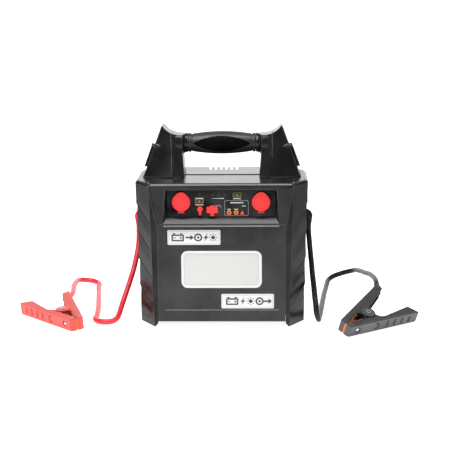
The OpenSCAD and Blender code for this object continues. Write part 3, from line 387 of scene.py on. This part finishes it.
# opal acrylic: milky white that spreads the light, with a glossier moulded rim that has painted grey shade in
# its corners
OPAL = moulded("opal_acrylic", "#cacbc8", 0.55, 3.0, 0.001, amount=0.0, ior=1.25)
OPAL_RIM = moulded("opal_rim", "#d8d9da", 0.3, 3.0, 0.001, tint="#dcddde", amount=0.3, crease="#a8a9a8")
# vinyl label stock: near white, faintly uneven, softly glossy
VINYL = moulded("white_vinyl", "#dedede", 0.4, 1.2, 0.005, tint="#d0d0ce", amount=0.2)
# white ABS of the lamp's reflector: clean and glossy
WHITE_ABS = moulded("white_abs", "#e6e8ea", 0.2, 1.0, 0.005)
# tinted epoxy, smooth and glossy: the unlit level lamps, the jump lamps, the fault lamp, and the rings
GREEN_EPOXY = moulded("green_epoxy", "#343b38", 0.15, 2.0, 0.002)
RED_EPOXY = moulded("red_epoxy", "#e8301c", 0.2, 2.0, 0.002, tint="#ff6040", amount=0.3)
ORANGE_EPOXY = moulded("orange_epoxy", "#ee4a12", 0.2, 2.0, 0.002, tint="#ff7a30", amount=0.3)
AMBER_RING = moulded("amber_ring", "#f29a2c", 0.3, 2.0, 0.002, tint="#ffc860", amount=0.3)
# glass-epoxy board under solder resist: deep green, lightly glossy
BOARD = moulded("green_board", "#1d5a33", 0.3, 0.6, 0.01)
# polypropylene of the battery cases: dull blue-black
BATTERY = moulded("battery_case", "#24262b", 0.45, 0.9, 0.02)
# zinc plate on steel, copper plate on steel and brass: cool grey, red and yellow, with short streaks
ZINC = metal("zinc_plate", "#c9ccd0", 0.3, 0.3, 0.004)
COPPER = metal("copper_plate", "#c4714e", 0.34, 0.4, 0.006)
BRASS = metal("tinned_brass", "#c9a24a", 0.3, 0.4, 0.004)

place_camera()

finish(NYLON, "left_socket", "right_socket", "socket_nuts", "charge_jack", "cap_anchors",
       "battery_tray", "jump_relay")
finish(FILM, "panel_fascia")
finish(ZINC, "usb_port", "case_screws", "battery_bracket", "red_clamp_pin", "black_clamp_pin")
finish(GREEN_EPOXY, "level_leds")
finish(BOARD, "panel_board", "main_board", "lamp_board")
finish(WHITE_ABS, "lamp_reflector")
finish(BATTERY, "front_battery", "rear_battery")
finish(BRASS, "battery_terminals", "series_link")
finish(COPPER, "red_clamp_cable_jaw", "red_clamp_free_jaw",
       "black_clamp_cable_jaw", "black_clamp_free_jaw")
finish(RED_PVC, "positive_lead", "relay_lead")
finish(BLACK_PVC, "negative_lead")

# ---------------------------------------------------------------- booster cables

CABLE_D = 9.5
ROUND_STEPS, LENGTH_STEPS = 6, 6  # of the cable's curve
# from the boot at the side of the case, round on the floor and up to the clamp's arm
RED_ROUTE = [
    (-150, 45, 150), (-150, 45, 138), (-150, 42, 125), (-151, 35, 110), (-153.5, 26, 95),
    (-157, 14, 78), (-162, 1, 61), (-167, -13, 45.5), (-171.5, -27, 32), (-175, -41, 21),
    (-177.5, -56, 12.5), (-180.5, -67, 8), (-187.5, -74, 5.5), (-198, -77, 5), (-207.5, -74.5, 5),
    (-214.5, -68, 5), (-218, -57, 5), (-218, -40, 5), (-219.5, -16, 5), (-222, 14, 5), (-226, 50, 5),
    (-230.5, 88, 5), (-235, 126, 5), (-239, 155, 5.5), (-240, 174, 6), (-243, 184.5, 6.5),
    (-250.5, 192, 7.5), (-260.5, 195, 9), (-270.5, 192.5, 10.5), (-278, 185, 12.5), (-281, 174, 14),
    (-281.5, 154, 16), (-281, 128, 17.5), (-278.5, 102, 18.5), (-275.5, 76, 18.6), (-275.1, 53.2, 18.6),
    (-277.5, 35.1, 19)]
BLACK_ROUTE = [
    (150, 45, 150), (150, 45, 138), (151, 41, 125), (152, 32, 112), (153, 18, 99),
    (154, 1, 87), (154.5, -18, 76), (155.5, -37, 65), (156.5, -54, 53), (157.5, -68.5, 41.5),
    (158.5, -75.5, 33.5), (159.5, -77.5, 21.5), (161.5, -74.5, 13.5), (163.5, -67, 7), (164.5, -57, 5),
    (166.5, -42, 5), (169, -18, 5), (172, 10, 5), (175, 42, 5), (178.5, 76, 5), (182, 110, 5),
    (186.5, 146, 5), (190.5, 177, 6), (194, 199, 7.5), (199.5, 210.5, 9.5), (208.5, 218, 12.5),
    (220, 220.5, 16), (231.5, 217.5, 20), (240.5, 210, 24), (246, 199, 28), (250, 176, 32.5),
    (254, 148, 37.5), (258, 119, 42), (262.5, 90, 47), (265.5, 60, 50.5), (267.5, 32, 52),
    (267.4, 5.8, 50.9), (266.3, -11.9, 46.7)]


def booster_cable(colour, route, material, tools):
    """One cable on its route. tools, the pieces at its two ends, is not used."""
    line = bpy.data.curves.new(colour + "_booster_cable", "CURVE")
    line.dimensions = "3D"
    line.bevel_depth = CABLE_D / 2 * MM
    line.bevel_resolution = ROUND_STEPS
    line.resolution_u = LENGTH_STEPS
    line.use_fill_caps = True
    spline = line.splines.new("BEZIER")
    spline.bezier_points.add(len(route) - 1)
    for point, at in zip(spline.bezier_points, route):
        point.co = Vector(at) * MM
        point.handle_left_type = point.handle_right_type = "AUTO"
    line.materials.append(material)
    cable = bpy.data.objects.new(colour + "_booster_cable", line)
    bpy.context.collection.objects.link(cable)
    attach(cable, CASE)
    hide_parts(colour + "_cable")


BOOT_Y, BOOT_Z, BOOT_SEAT_X = 45, 170, 139
# the bend in X and Z with its radii, then a straight ribbed run down to the cable
BOOT_BEND = [(139.5, 170), (143, 170), (146, 169.4), (148.4, 167.6), (149.6, 165.2), (150, 162.5)]
BOOT_BEND_R = [7.4, 7.4, 7.4, 7.4, 7.4, 7.3]
BOOT_RUN, BOOT_STEPS, BOOT_TOP_R, BOOT_TAPER, RIB_DEPTH = 12.5, 20, 7.2, 1.7, 0.5
BOOT_COLLAR = [(0, 0), (9.9, 0), (9.9, 2.6), (9.2, 3.6), (7.6, 4.3), (6.5, 4.4), (0, 4.4)]


def cable_boot(colour, side, material):
    """The elbow that seals a cable where it leaves the case, ribbed down to the cable."""
    run_x, run_z = BOOT_BEND[-1]
    line, radii = list(BOOT_BEND), list(BOOT_BEND_R)
    for k in range(1, BOOT_STEPS + 1):
        line.append((run_x, run_z - BOOT_RUN * k / BOOT_STEPS))
        radii.append(BOOT_TOP_R - BOOT_TAPER * k / BOOT_STEPS - (RIB_DEPTH if k % 4 in (2, 3) else 0))
    shape = bmesh.new()
    swept(shape, [(side * x, BOOT_Y, z) for x, z in line], radii, 24)
    seat = (Matrix.Translation((side * BOOT_SEAT_X, BOOT_Y, BOOT_Z))
            @ Matrix.Rotation(math.radians(side * 90), 4, "Y"))
    lathe(shape, BOOT_COLLAR, seat)
    piece_from(shape, colour + "_boot", material, CASE, colour + "_cable_boot")


cable_boot("red", -1, RED_PVC)
cable_boot("black", 1, BLACK_PVC)

# ---------------------------------------------------------------- spring clamps

# each clamp's pin, its turn about X, Y and Z in degrees, and -1 where it is mirrored
RED_CLAMP = ((-271.5, -63.5, 13.6), (6, 1.6, -59.2), 1)
BLACK_CLAMP = ((241, -104, 20.8), (-24, 6, 228.4), -1)
# an arm's length and spread behind the pin, its jaw's length and half height, and its outer slope
ARM_L, ARM_SPREAD, JAW_L, JAW_HALF = 85.5, 46.2, 57.8, 12
ARM_SLOPE = math.atan((ARM_SPREAD - JAW_HALF) / (ARM_L + JAW_L))
CLAMP_ROUND = 0.6
# the spring's wire and coil, and the end of its leg, LEG_SINK under the arm's outer face
WIRE_D, COIL_R, COIL_H, COIL_TURNS, COIL_STEPS = 1.6, 5.2, 9.4, 4, 20
LEG_X, LEG_SINK = -30, 3.5
LEG_Y = ARM_SPREAD - (ARM_L + LEG_X) * math.tan(ARM_SLOPE) - LEG_SINK / math.cos(ARM_SLOPE)
# the rivet that holds a jaw's copper liner: its place along the arm, and its profile
RIVET_X = 131.5
RIVET = [(0, -0.3), (1.4, -0.36), (2.3, -0.6), (2.85, -1.1), (2.85, -2.2), (0, -2.2)]


def clamp_frame(at, turn, side):
    """The clamp's own frame: jaws towards X, the cable's arm on Y, mirrored where side is -1."""
    turned = (Matrix.Rotation(math.radians(turn[2]), 4, "Z") @ Matrix.Rotation(math.radians(turn[1]), 4, "Y")
              @ Matrix.Rotation(math.radians(turn[0]), 4, "X"))
    return Matrix.Translation(at) @ turned @ Matrix.Diagonal((1, side, 1, 1))


def clamp_spring(colour, place):
    """The torsion spring: one wire, coiled round the pin, with a leg against each arm."""
    lead = math.acos(COIL_R / math.hypot(LEG_X, LEG_Y)) - math.atan2(LEG_Y, LEG_X)
    sweep = 2 * math.pi * COIL_TURNS - 2 * lead
    steps = round(sweep / (2 * math.pi) * COIL_STEPS)
    wire = [(LEG_X, -LEG_Y, -COIL_H / 2)]
    for k in range(steps + 1):
        a = lead + k * sweep / steps
        wire.append((COIL_R * math.cos(a), COIL_R * math.sin(a), COIL_H * (k / steps - 0.5)))
    wire.append((LEG_X, LEG_Y, COIL_H / 2))
    shape = bmesh.new()
    swept(shape, [place @ Vector(p) for p in wire], [WIRE_D / 2] * len(wire), 10)
    spring = piece_from(shape, colour + "_spring_wire", ZINC, None, colour + "_clamp_spring")
    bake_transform(spring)
    return spring


def clamp(colour, pose, material):
    """Both arms, the spring and a rivet of one clamp; gives all pieces that hang on its cable."""
    place = clamp_frame(*pose)
    made = [softened(colour + "_clamp_cable_arm", colour + "_upper_arm", CLAMP_ROUND, material),
            softened(colour + "_clamp_free_arm", colour + "_lower_arm", CLAMP_ROUND, material),
            clamp_spring(colour, place)]
    outer_face = (place @ Matrix.Translation((-ARM_L, -ARM_SPREAD, 0))
                  @ Matrix.Rotation(ARM_SLOPE, 4, "Z") @ Matrix.Translation((RIVET_X, 0, 0))
                  @ Matrix.Rotation(math.radians(90), 4, "X"))
    shape = bmesh.new()
    lathe(shape, RIVET, outer_face)
    made.append(piece_from(shape, colour + "_liner_rivet", ZINC, colour + "_free_arm"))
    return made + [frame["nodes"][f"{colour}_clamp_{part}"] for part in ("cable_jaw", "free_jaw", "pin")]


booster_cable("red", RED_ROUTE, RED_PVC, clamp("red", RED_CLAMP, RED_NYLON))
booster_cable("black", BLACK_ROUTE, BLACK_PVC, clamp("black", BLACK_CLAMP, CLAMP_NYLON))

# ---------------------------------------------------------------- case and handle

# the case's edges are rounded over by HULL_ROUND, and by DECK_ROUND at the deck; the side covers only at
# the deck, since a rounding breaks the narrow faces of their slats, which are shaded sharp instead
HULL_ROUND, DECK_ROUND, SLAT_CREASE = 0.7, 1.4, 1.5
softened("front_housing", "front_shell", HULL_ROUND, ABS, deck_width=DECK_ROUND)
softened("rear_housing", "rear_shell", HULL_ROUND, ABS, deck_width=DECK_ROUND)
for word in ("left", "right"):
    softened(word + "_side_cover", word + "_side_shell", 0.0, COVER_ABS,
             crease=SLAT_CREASE, deck_width=DECK_ROUND)
for word in ("left", "right"):
    softened(word + "_handle_tower", word + "_tower_shell", 2.2, TOWER_ABS)
softened("handle_grip", "grip_shell", 0.7, GRIP_ABS)
softened("grip_inserts", "grip_pads", 0.4, RUBBER)
for word in ("left", "right"):
    softened(word + "_clamp_holder", word + "_holder", 0.6, NYLON)
softened("rubber_feet", "feet", 0.8, RUBBER)

# ---------------------------------------------------------------- outlets and their caps

PANEL_Y = -83.0
OUTLET_X, OUTLET_Z, OUTLET_DEPTH, OUTLET_PROUD = 66.2, 212.8, 38, 1.4
# profiles as radius and height, from the bottom of the outlet or of the jack
CENTRE_CONTACT = [(0, 0), (4.2, 0), (4.2, 1.2), (2.6, 1.8), (2.4, 4.2), (1.6, 5.0), (0, 5.2)]
SHELL_CONTACT = [(10.45, 2), (10.45, 33), (10.2, 33.4), (9.95, 33), (9.95, 2), (10.45, 2)]
JACK_AT, JACK_DEPTH = (-35.1, 201), 7.2
JACK_PIN = [(0, 0), (0.65, 0), (0.65, 6), (0.4, 6.4), (0, 6.5)]
CAP_FACE_Y = PANEL_Y - 5.0
CAP_RING = [(12.6, -0.1), (12.5, 0.3), (12.2, 0.5), (11.8, 0.5), (11.5, 0.3), (11.4, -0.1), (12.6, -0.1)]


def outlet_details(side, lid):
    """Contacts inside one 12 V outlet, its cap and the ring moulded on the cap."""
    word = "left" if side < 0 else "right"
    deep = facing_front(side * OUTLET_X, PANEL_Y - OUTLET_PROUD + OUTLET_DEPTH, OUTLET_Z)
    shape = bmesh.new()
    lathe(shape, CENTRE_CONTACT, deep)
    piece_from(shape, word + "_centre_contact", BRASS, CASE)
    shape = bmesh.new()
    lathe(shape, SHELL_CONTACT, deep)
    piece_from(shape, word + "_shell_contact", ZINC, CASE)
    shape = bmesh.new()
    lathe(shape, CAP_RING, facing_front(side * OUTLET_X, CAP_FACE_Y, OUTLET_Z), 64)
    piece_from(shape, word + "_cap_ring", SILICONE, lid)
    softened(word + "_socket_cap", word + "_cap", 0.7, SILICONE)


outlet_details(-1, "left_socket_lid")
outlet_details(1, "right_socket_lid")
softened("charge_jack_cap", "charge_cap", 0.5, SILICONE)
softened("usb_port_cap", "usb_cap", 0.5, SILICONE)

jack_pin = bmesh.new()
lathe(jack_pin, JACK_PIN, facing_front(JACK_AT[0], PANEL_Y + JACK_DEPTH, JACK_AT[1]))
piece_from(jack_pin, "charge_pin", ZINC, CASE)

# ---------------------------------------------------------------- buttons, lamps and the panel's print

VOLT_AT, POWER_AT = (-36.1, 214.4), (26.4, 224.5)
BUTTON_PROUD = 1.3
PRINT_T = 0.12
KEY_MARK = [(-1.6, -1.2), (1.6, -1.2), (0.9, 1.0), (-0.9, 1.0)]
# printed bars that stand for words, as x, z, width and height, and two slanting lines
BARS = [(-36.1, 218.9, 13.4, 1.5), (-36.1, 207.9, 13.4, 1.5), (26.4, 218.2, 13.2, 1.5),
        (-9.5, 206.4, 9, 1.2), (26, 211.4, 22, 1.9), (37.5, 205.8, 6.4, 1.4),
        (13.1, 200.4, 6, 1.3), (24.9, 200.4, 7, 1.3)]
WEDGE = [(-15.4, 218.5), (4.8, 217.9), (4.8, 219.5), (-15.4, 218.9)]
SLASH = [(-4.4, 208.3), (-3.4, 208.3), (0.2, 203.8), (-0.8, 203.8)]
JUMP_FRAME_AT = (25.4, 202.3)
JUMP_LAMPS = [(13.1, 194.8), (24.9, 194.8)]
LAMP_RING = [(2.5, 0), (3.7, 0), (3.7, 0.5), (3.3, 0.9), (2.8, 0.9), (2.5, 0.5), (2.5, 0)]
LAMP_DOME = [(2.4, -2), (2.4, 0.7), (2.1, 1.2), (1.5, 1.6), (0.8, 1.8), (0, 1.85)]
FAULT_X, FAULT_Z, FAULT_R, FAULT_TOP_SHARE = 35, 193.8, 4.2, 0.82
FAULT_EDGE, FAULT_PROUD = 0.5, 0.9

softened("volt_button", "volt_key_cap", 0.35, NYLON)
softened("power_button", "power_key_cap", 0.35, NYLON)
for word, key, at in (("volt", "volt_key", VOLT_AT), ("power", "power_key", POWER_AT)):
    mark = bmesh.new()
    plate(mark, [(at[0] + x, at[1] + z) for x, z in KEY_MARK], PANEL_Y - BUTTON_PROUD, PRINT_T)
    piece_from(mark, word + "_key_mark", YELLOW_INK, key)

print_white = bmesh.new()
for x, z, w, h in BARS:
    plate(print_white, rounded(w, h, h * 0.3, (x, z), 2), PANEL_Y, PRINT_T)
plate(print_white, WEDGE, PANEL_Y, PRINT_T)
plate(print_white, SLASH, PANEL_Y, PRINT_T)
piece_from(print_white, "panel_marks", WHITE_INK, CASE)

print_grey = bmesh.new()
band(print_grey, rounded(39.9, 26.3, 2.6, JUMP_FRAME_AT), rounded(38.3, 24.7, 1.9, JUMP_FRAME_AT),
     PANEL_Y, PRINT_T)
piece_from(print_grey, "jump_frame", GREY_INK, CASE)

print_yellow = bmesh.new()
for at in (VOLT_AT, POWER_AT):
    band(print_yellow, rounded(13.8, 7.2, 1.0, at), rounded(12.2, 5.6, 0.7, at), PANEL_Y, PRINT_T)
piece_from(print_yellow, "key_frames", YELLOW_INK, CASE)

for profile, name, material, node in ((LAMP_RING, "jump_lamp_rings", AMBER_RING, None),
                                      (LAMP_DOME, "jump_lamps", RED_EPOXY, "jump_leds")):
    lamps = bmesh.new()
    for x, z in JUMP_LAMPS:
        lathe(lamps, profile, facing_front(x, PANEL_Y, z))
    piece_from(lamps, name, material, CASE, node)

fault = bmesh.new()
corners = [(FAULT_X + FAULT_R * math.cos(math.radians(a)), FAULT_Z + FAULT_R * math.sin(math.radians(a)))
           for a in (90, 210, 330)]
inner = [(FAULT_X + (x - FAULT_X) * FAULT_TOP_SHARE, FAULT_Z + (z - FAULT_Z) * FAULT_TOP_SHARE)
         for x, z in corners]
loft(fault, [at_depth(corners, PANEL_Y), at_depth(corners, PANEL_Y - FAULT_EDGE),
             at_depth(inner, PANEL_Y - FAULT_PROUD)])
piece_from(fault, "fault_lamp", ORANGE_EPOXY, CASE)

# ---------------------------------------------------------------- trims, lamp window and stickers

FACE_Y = -89.3
BODY_H, HALF_W, HALF_D = 245, 138.8, 92.5
# a side cover's sloped corner, in X and Y, and how far the side leans out from floor to deck
CORNER_X, CORNER_Y, SIDE_TAPER = 25.6, 40, 6.2
# the slats: slant in degrees, height of the topmost at the front edge of its corner, distance from one
# to the next, and how far they run on past the corner
SLAT_COUNT, SLAT_ANGLE, SLAT_TOP, SLAT_PITCH, SLAT_RUN = 4, 33, 175, 47, 20
BEAD_R, BEAD_STEPS, BEAD_START, BEAD_SHORT = 0.7, 12, 5, 6
# beads across the front: under the panel, along the top of the low skirt and down its two ends
LIP_X, LIP_Y, LIP_Z, LIP_R = 96, -92.2, 173.4, 1.1
SKIRT_X, SKIRT_Z, SKIRT_FOOT_X, SKIRT_FOOT_Z, SKIRT_R = 95, 29, 101, 12, 0.8
# the strip in the seam of the two housings, on the deck between the towers
SEAM_X, SEAM_R = 70, 1.0


def trim(name, a, b, radius, material, sides):
    """A straight bead from a to b, round or with a few flat sides, its section in Y and Z."""
    turns = [2 * math.pi * k / sides for k in range(sides)]
    shape = bmesh.new()
    loft(shape, [[(p[0], p[1] + radius * math.cos(a), p[2] + radius * math.sin(a)) for a in turns]
                 for p in (a, b)])
    piece_from(shape, name, material, CASE)


def slat_beads(side):
    """The thin raised edge of each slat, round both corners of one side cover."""
    shape = bmesh.new()
    slope = math.tan(math.radians(SLAT_ANGLE))
    run = math.hypot(CORNER_X, CORNER_Y)
    turn = math.atan2(CORNER_Y, CORNER_X)
    for y_side in (-1, 1):
        for k in range(SLAT_COUNT):
            points = []
            for step in range(BEAD_STEPS + 1):
                u = BEAD_START + (run + SLAT_RUN - BEAD_SHORT) * step / BEAD_STEPS
                z = SLAT_TOP - k * SLAT_PITCH + u * slope
                on_corner = min(u, run)
                x = HALF_W - CORNER_X + on_corner * math.cos(turn) + SIDE_TAPER * z / BODY_H
                y = -HALF_D + on_corner * math.sin(turn) + max(u - run, 0)
                points.append((side * x, -y_side * y, z))
            swept(shape, points, [BEAD_R] * len(points), 8)
    piece_from(shape, ("left" if side < 0 else "right") + "_slat_beads", COVER_ABS, CASE)


slat_beads(-1)
slat_beads(1)
trim("lip_bead", (-LIP_X, LIP_Y, LIP_Z), (LIP_X, LIP_Y, LIP_Z), LIP_R, ABS, 4)
trim("skirt_bead", (-SKIRT_X, FACE_Y, SKIRT_Z), (SKIRT_X, FACE_Y, SKIRT_Z), SKIRT_R, ABS, 4)
for word, side in (("left", -1), ("right", 1)):
    trim(word + "_skirt_bead", (side * SKIRT_X, FACE_Y, SKIRT_Z),
         (side * SKIRT_FOOT_X, FACE_Y, SKIRT_FOOT_Z), SKIRT_R, ABS, 4)
trim("deck_seam", (-SEAM_X, 0, BODY_H), (SEAM_X, 0, BODY_H), SEAM_R, RUBBER, 12)

LAMP_W, LAMP_H, LAMP_Z, LAMP_R = 134.2, 63.3, 99.2, 10.6
# inset from the window's outline and depth behind the front face
LENS_RIM = [(0, 2.6), (0, -0.3), (0.5, -0.65), (1.1, -0.7), (3.6, -0.7), (4.2, -0.3), (4.4, 0.2), (4.4, 2.6)]
LENS_PANE = [(4.4, 4.2), (4.4, 0.3), (5.2, 0)]


def lens_loop(inset, depth):
    outline = rounded(LAMP_W - 2 * inset, LAMP_H - 2 * inset, LAMP_R - inset, (0, LAMP_Z), 10)
    return at_depth(outline, FACE_Y + depth)


rim = bmesh.new()
loft(rim, [lens_loop(*row) for row in LENS_RIM], ring=True)
piece_from(rim, "lens_rim", OPAL_RIM, CASE)
pane = bmesh.new()
loft(pane, [lens_loop(*row) for row in LENS_PANE])
piece_from(pane, "lens_pane", OPAL, CASE, "lamp_lens")

# the stickers' vinyl and border, and their signs, which are drawn small and enlarged by SIGN_SCALE
LABEL_W, LABEL_H, LABEL_T, LABEL_EDGE_T = 88, 25, 0.4, 0.3
BORDER_W, BORDER_H, BORDER_LINE, BORDER_T = 84, 21, 0.4, 0.05
SIGN_SCALE, STROKE, THIN, INK_T = 1.22, 2.1, 1.1, 0.06
CELL_W, CELL_H, CELL_DOWN = 17, 9.6, 0.6


def stroke(shape, a, b, y, width=STROKE):
    """A straight inked line from a to b."""
    ax, az, bx, bz = *a, *b
    run = math.hypot(bx - ax, bz - az)
    nx, nz = -(bz - az) / run * width / 2, (bx - ax) / run * width / 2
    plate(shape, [(ax + nx, az + nz), (bx + nx, bz + nz), (bx - nx, bz - nz), (ax - nx, az - nz)], y, INK_T)


def battery_sign(shape, x, z, y):
    """A battery seen from the side: box, two posts, plus and minus."""
    middle = (x, z - CELL_DOWN)
    band(shape, rounded(CELL_W, CELL_H, 1, middle, 2),
         rounded(CELL_W - 2 * STROKE, CELL_H - 2 * STROKE, 0.3, middle, 2), y, INK_T)
    for dx in (-5, 5):
        plate(shape, rounded(3.4, 1.6, 0.3, (x + dx, z + 5.2), 2), y, INK_T)
    stroke(shape, (x - 6, z - CELL_DOWN), (x - 2.4, z - CELL_DOWN), y, THIN)
    stroke(shape, (x + 2.4, z - CELL_DOWN), (x + 6, z - CELL_DOWN), y, THIN)
    stroke(shape, (x + 4.2, z - 2.4), (x + 4.2, z + 1.2), y, THIN)


def arrow_sign(shape, x, z, y):
    stroke(shape, (x - 5, z), (x + 2, z), y, 2.2)
    plate(shape, [(x + 1.6, z - 3.8), (x + 6.4, z), (x + 1.6, z + 3.8)], y, INK_T)


def outlet_sign(shape, x, z, y):
    """A round outlet from the front."""
    band(shape, circle(5.6, (x, z)), circle(5.6 - STROKE, (x, z)), y, INK_T)
    plate(shape, circle(1.7, (x, z), 16), y, INK_T)


def bolt_sign(shape, x, z, y):
    for way in (1, -1):
        plate(shape, [(x + way * dx, z + way * dz) for dx, dz in ((2.6, 6), (-3.4, -1), (-0.4, -1))], y, INK_T)


def lamp_sign(shape, x, z, y):
    """A lamp with its rays."""
    plate(shape, circle(2.6, (x, z), 20), y, INK_T)
    for k in range(8):
        a = math.radians(45 * k)
        stroke(shape, (x + 3.7 * math.cos(a), z + 3.7 * math.sin(a)),
               (x + 5.8 * math.cos(a), z + 5.8 * math.sin(a)), y, 1.0)


def sticker(word, at, signs):
    """A vinyl sticker with a thin printed border and a row of signs."""
    y = FACE_Y - LABEL_T
    shape = bmesh.new()
    edge, top = rounded(LABEL_W, LABEL_H, 2, at), rounded(LABEL_W - 0.3, LABEL_H - 0.3, 1.9, at)
    loft(shape, [at_depth(edge, FACE_Y), at_depth(edge, FACE_Y - LABEL_EDGE_T), at_depth(top, y)])
    piece_from(shape, word + "_sticker", VINYL, CASE, word + "_label")
    shape = bmesh.new()
    band(shape, rounded(BORDER_W, BORDER_H, 1.2, at),
         rounded(BORDER_W - 2 * BORDER_LINE, BORDER_H - 2 * BORDER_LINE, 0.9, at), y, BORDER_T)
    piece_from(shape, word + "_sticker_border", GREY_INK, CASE)
    shape = bmesh.new()
    for sign, dx in signs:
        first = len(shape.verts)
        sign(shape, at[0] + dx, at[1], y)
        shape.verts.ensure_lookup_table()
        for corner in shape.verts[first:]:
            corner.co.x = at[0] + dx + (corner.co.x - at[0] - dx) * SIGN_SCALE
            corner.co.z = at[1] + (corner.co.z - at[1]) * SIGN_SCALE
    piece_from(shape, word + "_sticker_signs", BLACK_INK, CASE)


sticker("upper", (-45.5, 154), (
    (battery_sign, -27), (arrow_sign, -8), (outlet_sign, 7), (bolt_sign, 20), (lamp_sign, 32)))
sticker("lower", (43.4, 44.6), (
    (battery_sign, -26), (bolt_sign, -8), (lamp_sign, 5), (outlet_sign, 20), (arrow_sign, 33)))

# ---------------------------------------------------------------- studio


# the surroundings' strength, by the share of a ray that runs up, sideways or back: dim low in front,
# a little brighter low at the sides, bright low at the back, and even overhead
SKY_DIM, SKY_SIDE, SKY_BACK, SKY_HIGH = 0.12, 0.3, 1.7, 0.5
BACK_SHARE, SIDE_SHARE, HIGH_SHARE = (0.6, 0.9), (0.55, 0.8), (0.35, 0.65)
# the lit part of the floor, in metres: it fades at its sides, which widen towards the back, and in front
FLOOR_SIZE, FLOOR_Z, FLOOR_GLOW = 60, -0.0003, 0.9
PAPER_GRAIN, PAPER_DEPTH = 4, 0.01  # millimetres
LIT_HALF_WIDTH, LIT_FRONT, LIT_SHIFT, LIT_WIDENING = (0.5, 0.85), (-0.9, -0.45), 0.1, 0.2


def studio_sky():
    """A white backdrop behind the object, and the dim rest of the room, a little lighter overhead."""
    world = bpy.data.worlds.new("studio")
    world.use_nodes = True
    t = world.node_tree
    t.nodes.clear()
    ray = add(t, "SeparateXYZ", {0: add(t, "TexCoord").outputs["Generated"]})
    wall = add(t, "MapRange", {0: ray.outputs["Y"], 1: BACK_SHARE[0], 2: BACK_SHARE[1],
                               3: SKY_DIM, 4: SKY_BACK})
    across = add(t, "Math", {0: ray.outputs["X"]}, operation="ABSOLUTE")
    side = add(t, "MapRange", {0: across.outputs[0], 1: SIDE_SHARE[0], 2: SIDE_SHARE[1],
                               3: SKY_DIM, 4: SKY_SIDE})
    low = add(t, "Math", {0: wall.outputs[0], 1: side.outputs[0]}, operation="MAXIMUM")
    high = add(t, "MapRange", {0: ray.outputs["Z"], 1: HIGH_SHARE[0], 2: HIGH_SHARE[1], 3: 0.0, 4: 1.0})
    level = add(t, "Mix", {0: high.outputs[0], 2: low.outputs[0], 3: SKY_HIGH})
    glow = add(t, "Background", {"Color": (1, 1, 1, 1), "Strength": level.outputs[0]})
    add(t, "OutputWorld", {"Surface": glow.outputs[0]})
    bpy.context.scene.world = world


def lit_paper():
    """White paper on a light table: lit from below, under the object and behind it."""
    m = new_material("white_paper")
    t = m.node_tree
    where = add(t, "TexCoord").outputs["Object"]
    at = add(t, "SeparateXYZ", {0: where})
    behind = add(t, "Math", {0: at.outputs["Y"], 1: 0.0}, operation="MAXIMUM")
    widened = add(t, "Math", {0: behind.outputs[0], 1: LIT_WIDENING}, operation="MULTIPLY")
    across = add(t, "Math", {0: at.outputs["X"], 1: LIT_SHIFT}, operation="ADD")
    off = add(t, "Math", {0: across.outputs[0]}, operation="ABSOLUTE")
    edge = add(t, "Math", {0: off.outputs[0], 1: widened.outputs[0]}, operation="SUBTRACT")
    side = add(t, "MapRange", {0: edge.outputs[0], 1: LIT_HALF_WIDTH[0], 2: LIT_HALF_WIDTH[1], 3: 1.0, 4: 0.0})
    front = add(t, "MapRange", {0: at.outputs["Y"], 1: LIT_FRONT[0], 2: LIT_FRONT[1], 3: 0.0, 4: 1.0})
    lit = add(t, "Math", {0: side.outputs[0], 1: front.outputs[0]}, operation="MULTIPLY")
    level = add(t, "Math", {0: lit.outputs[0], 1: FLOOR_GLOW}, operation="MULTIPLY")
    fibre = add(t, "TexNoise", {"Vector": where, "Scale": 1 / (PAPER_GRAIN * MM)})
    bump = add(t, "Bump", {"Height": fibre.outputs["Fac"], "Distance": PAPER_DEPTH * MM})
    return close_material(m, {
        "Base Color": linear("#fafafa"), "Roughness": 0.9, "Emission Color": (1, 1, 1, 1),
        "Emission Strength": level.outputs[0], "Normal": bump.outputs[0]})


def studio_floor():
    bpy.ops.mesh.primitive_plane_add(size=FLOOR_SIZE, location=(0, 0, FLOOR_Z))
    floor = bpy.context.object
    floor.name = "floor"
    floor.data.materials.append(lit_paper())


studio_sky()
studio_floor()
# metres and watts
soft_light("overhead", at=(0, -0.36, 1.5), aim=(0, -0.36, 0), size=(1.1, 0.26), power=12)
soft_light("key", at=(-0.5, -1.3, 1.9), aim=(0, -0.09, 0.15), size=(0.7, 0.7), power=20)
bpy.context.scene.view_settings.view_transform = "Standard"
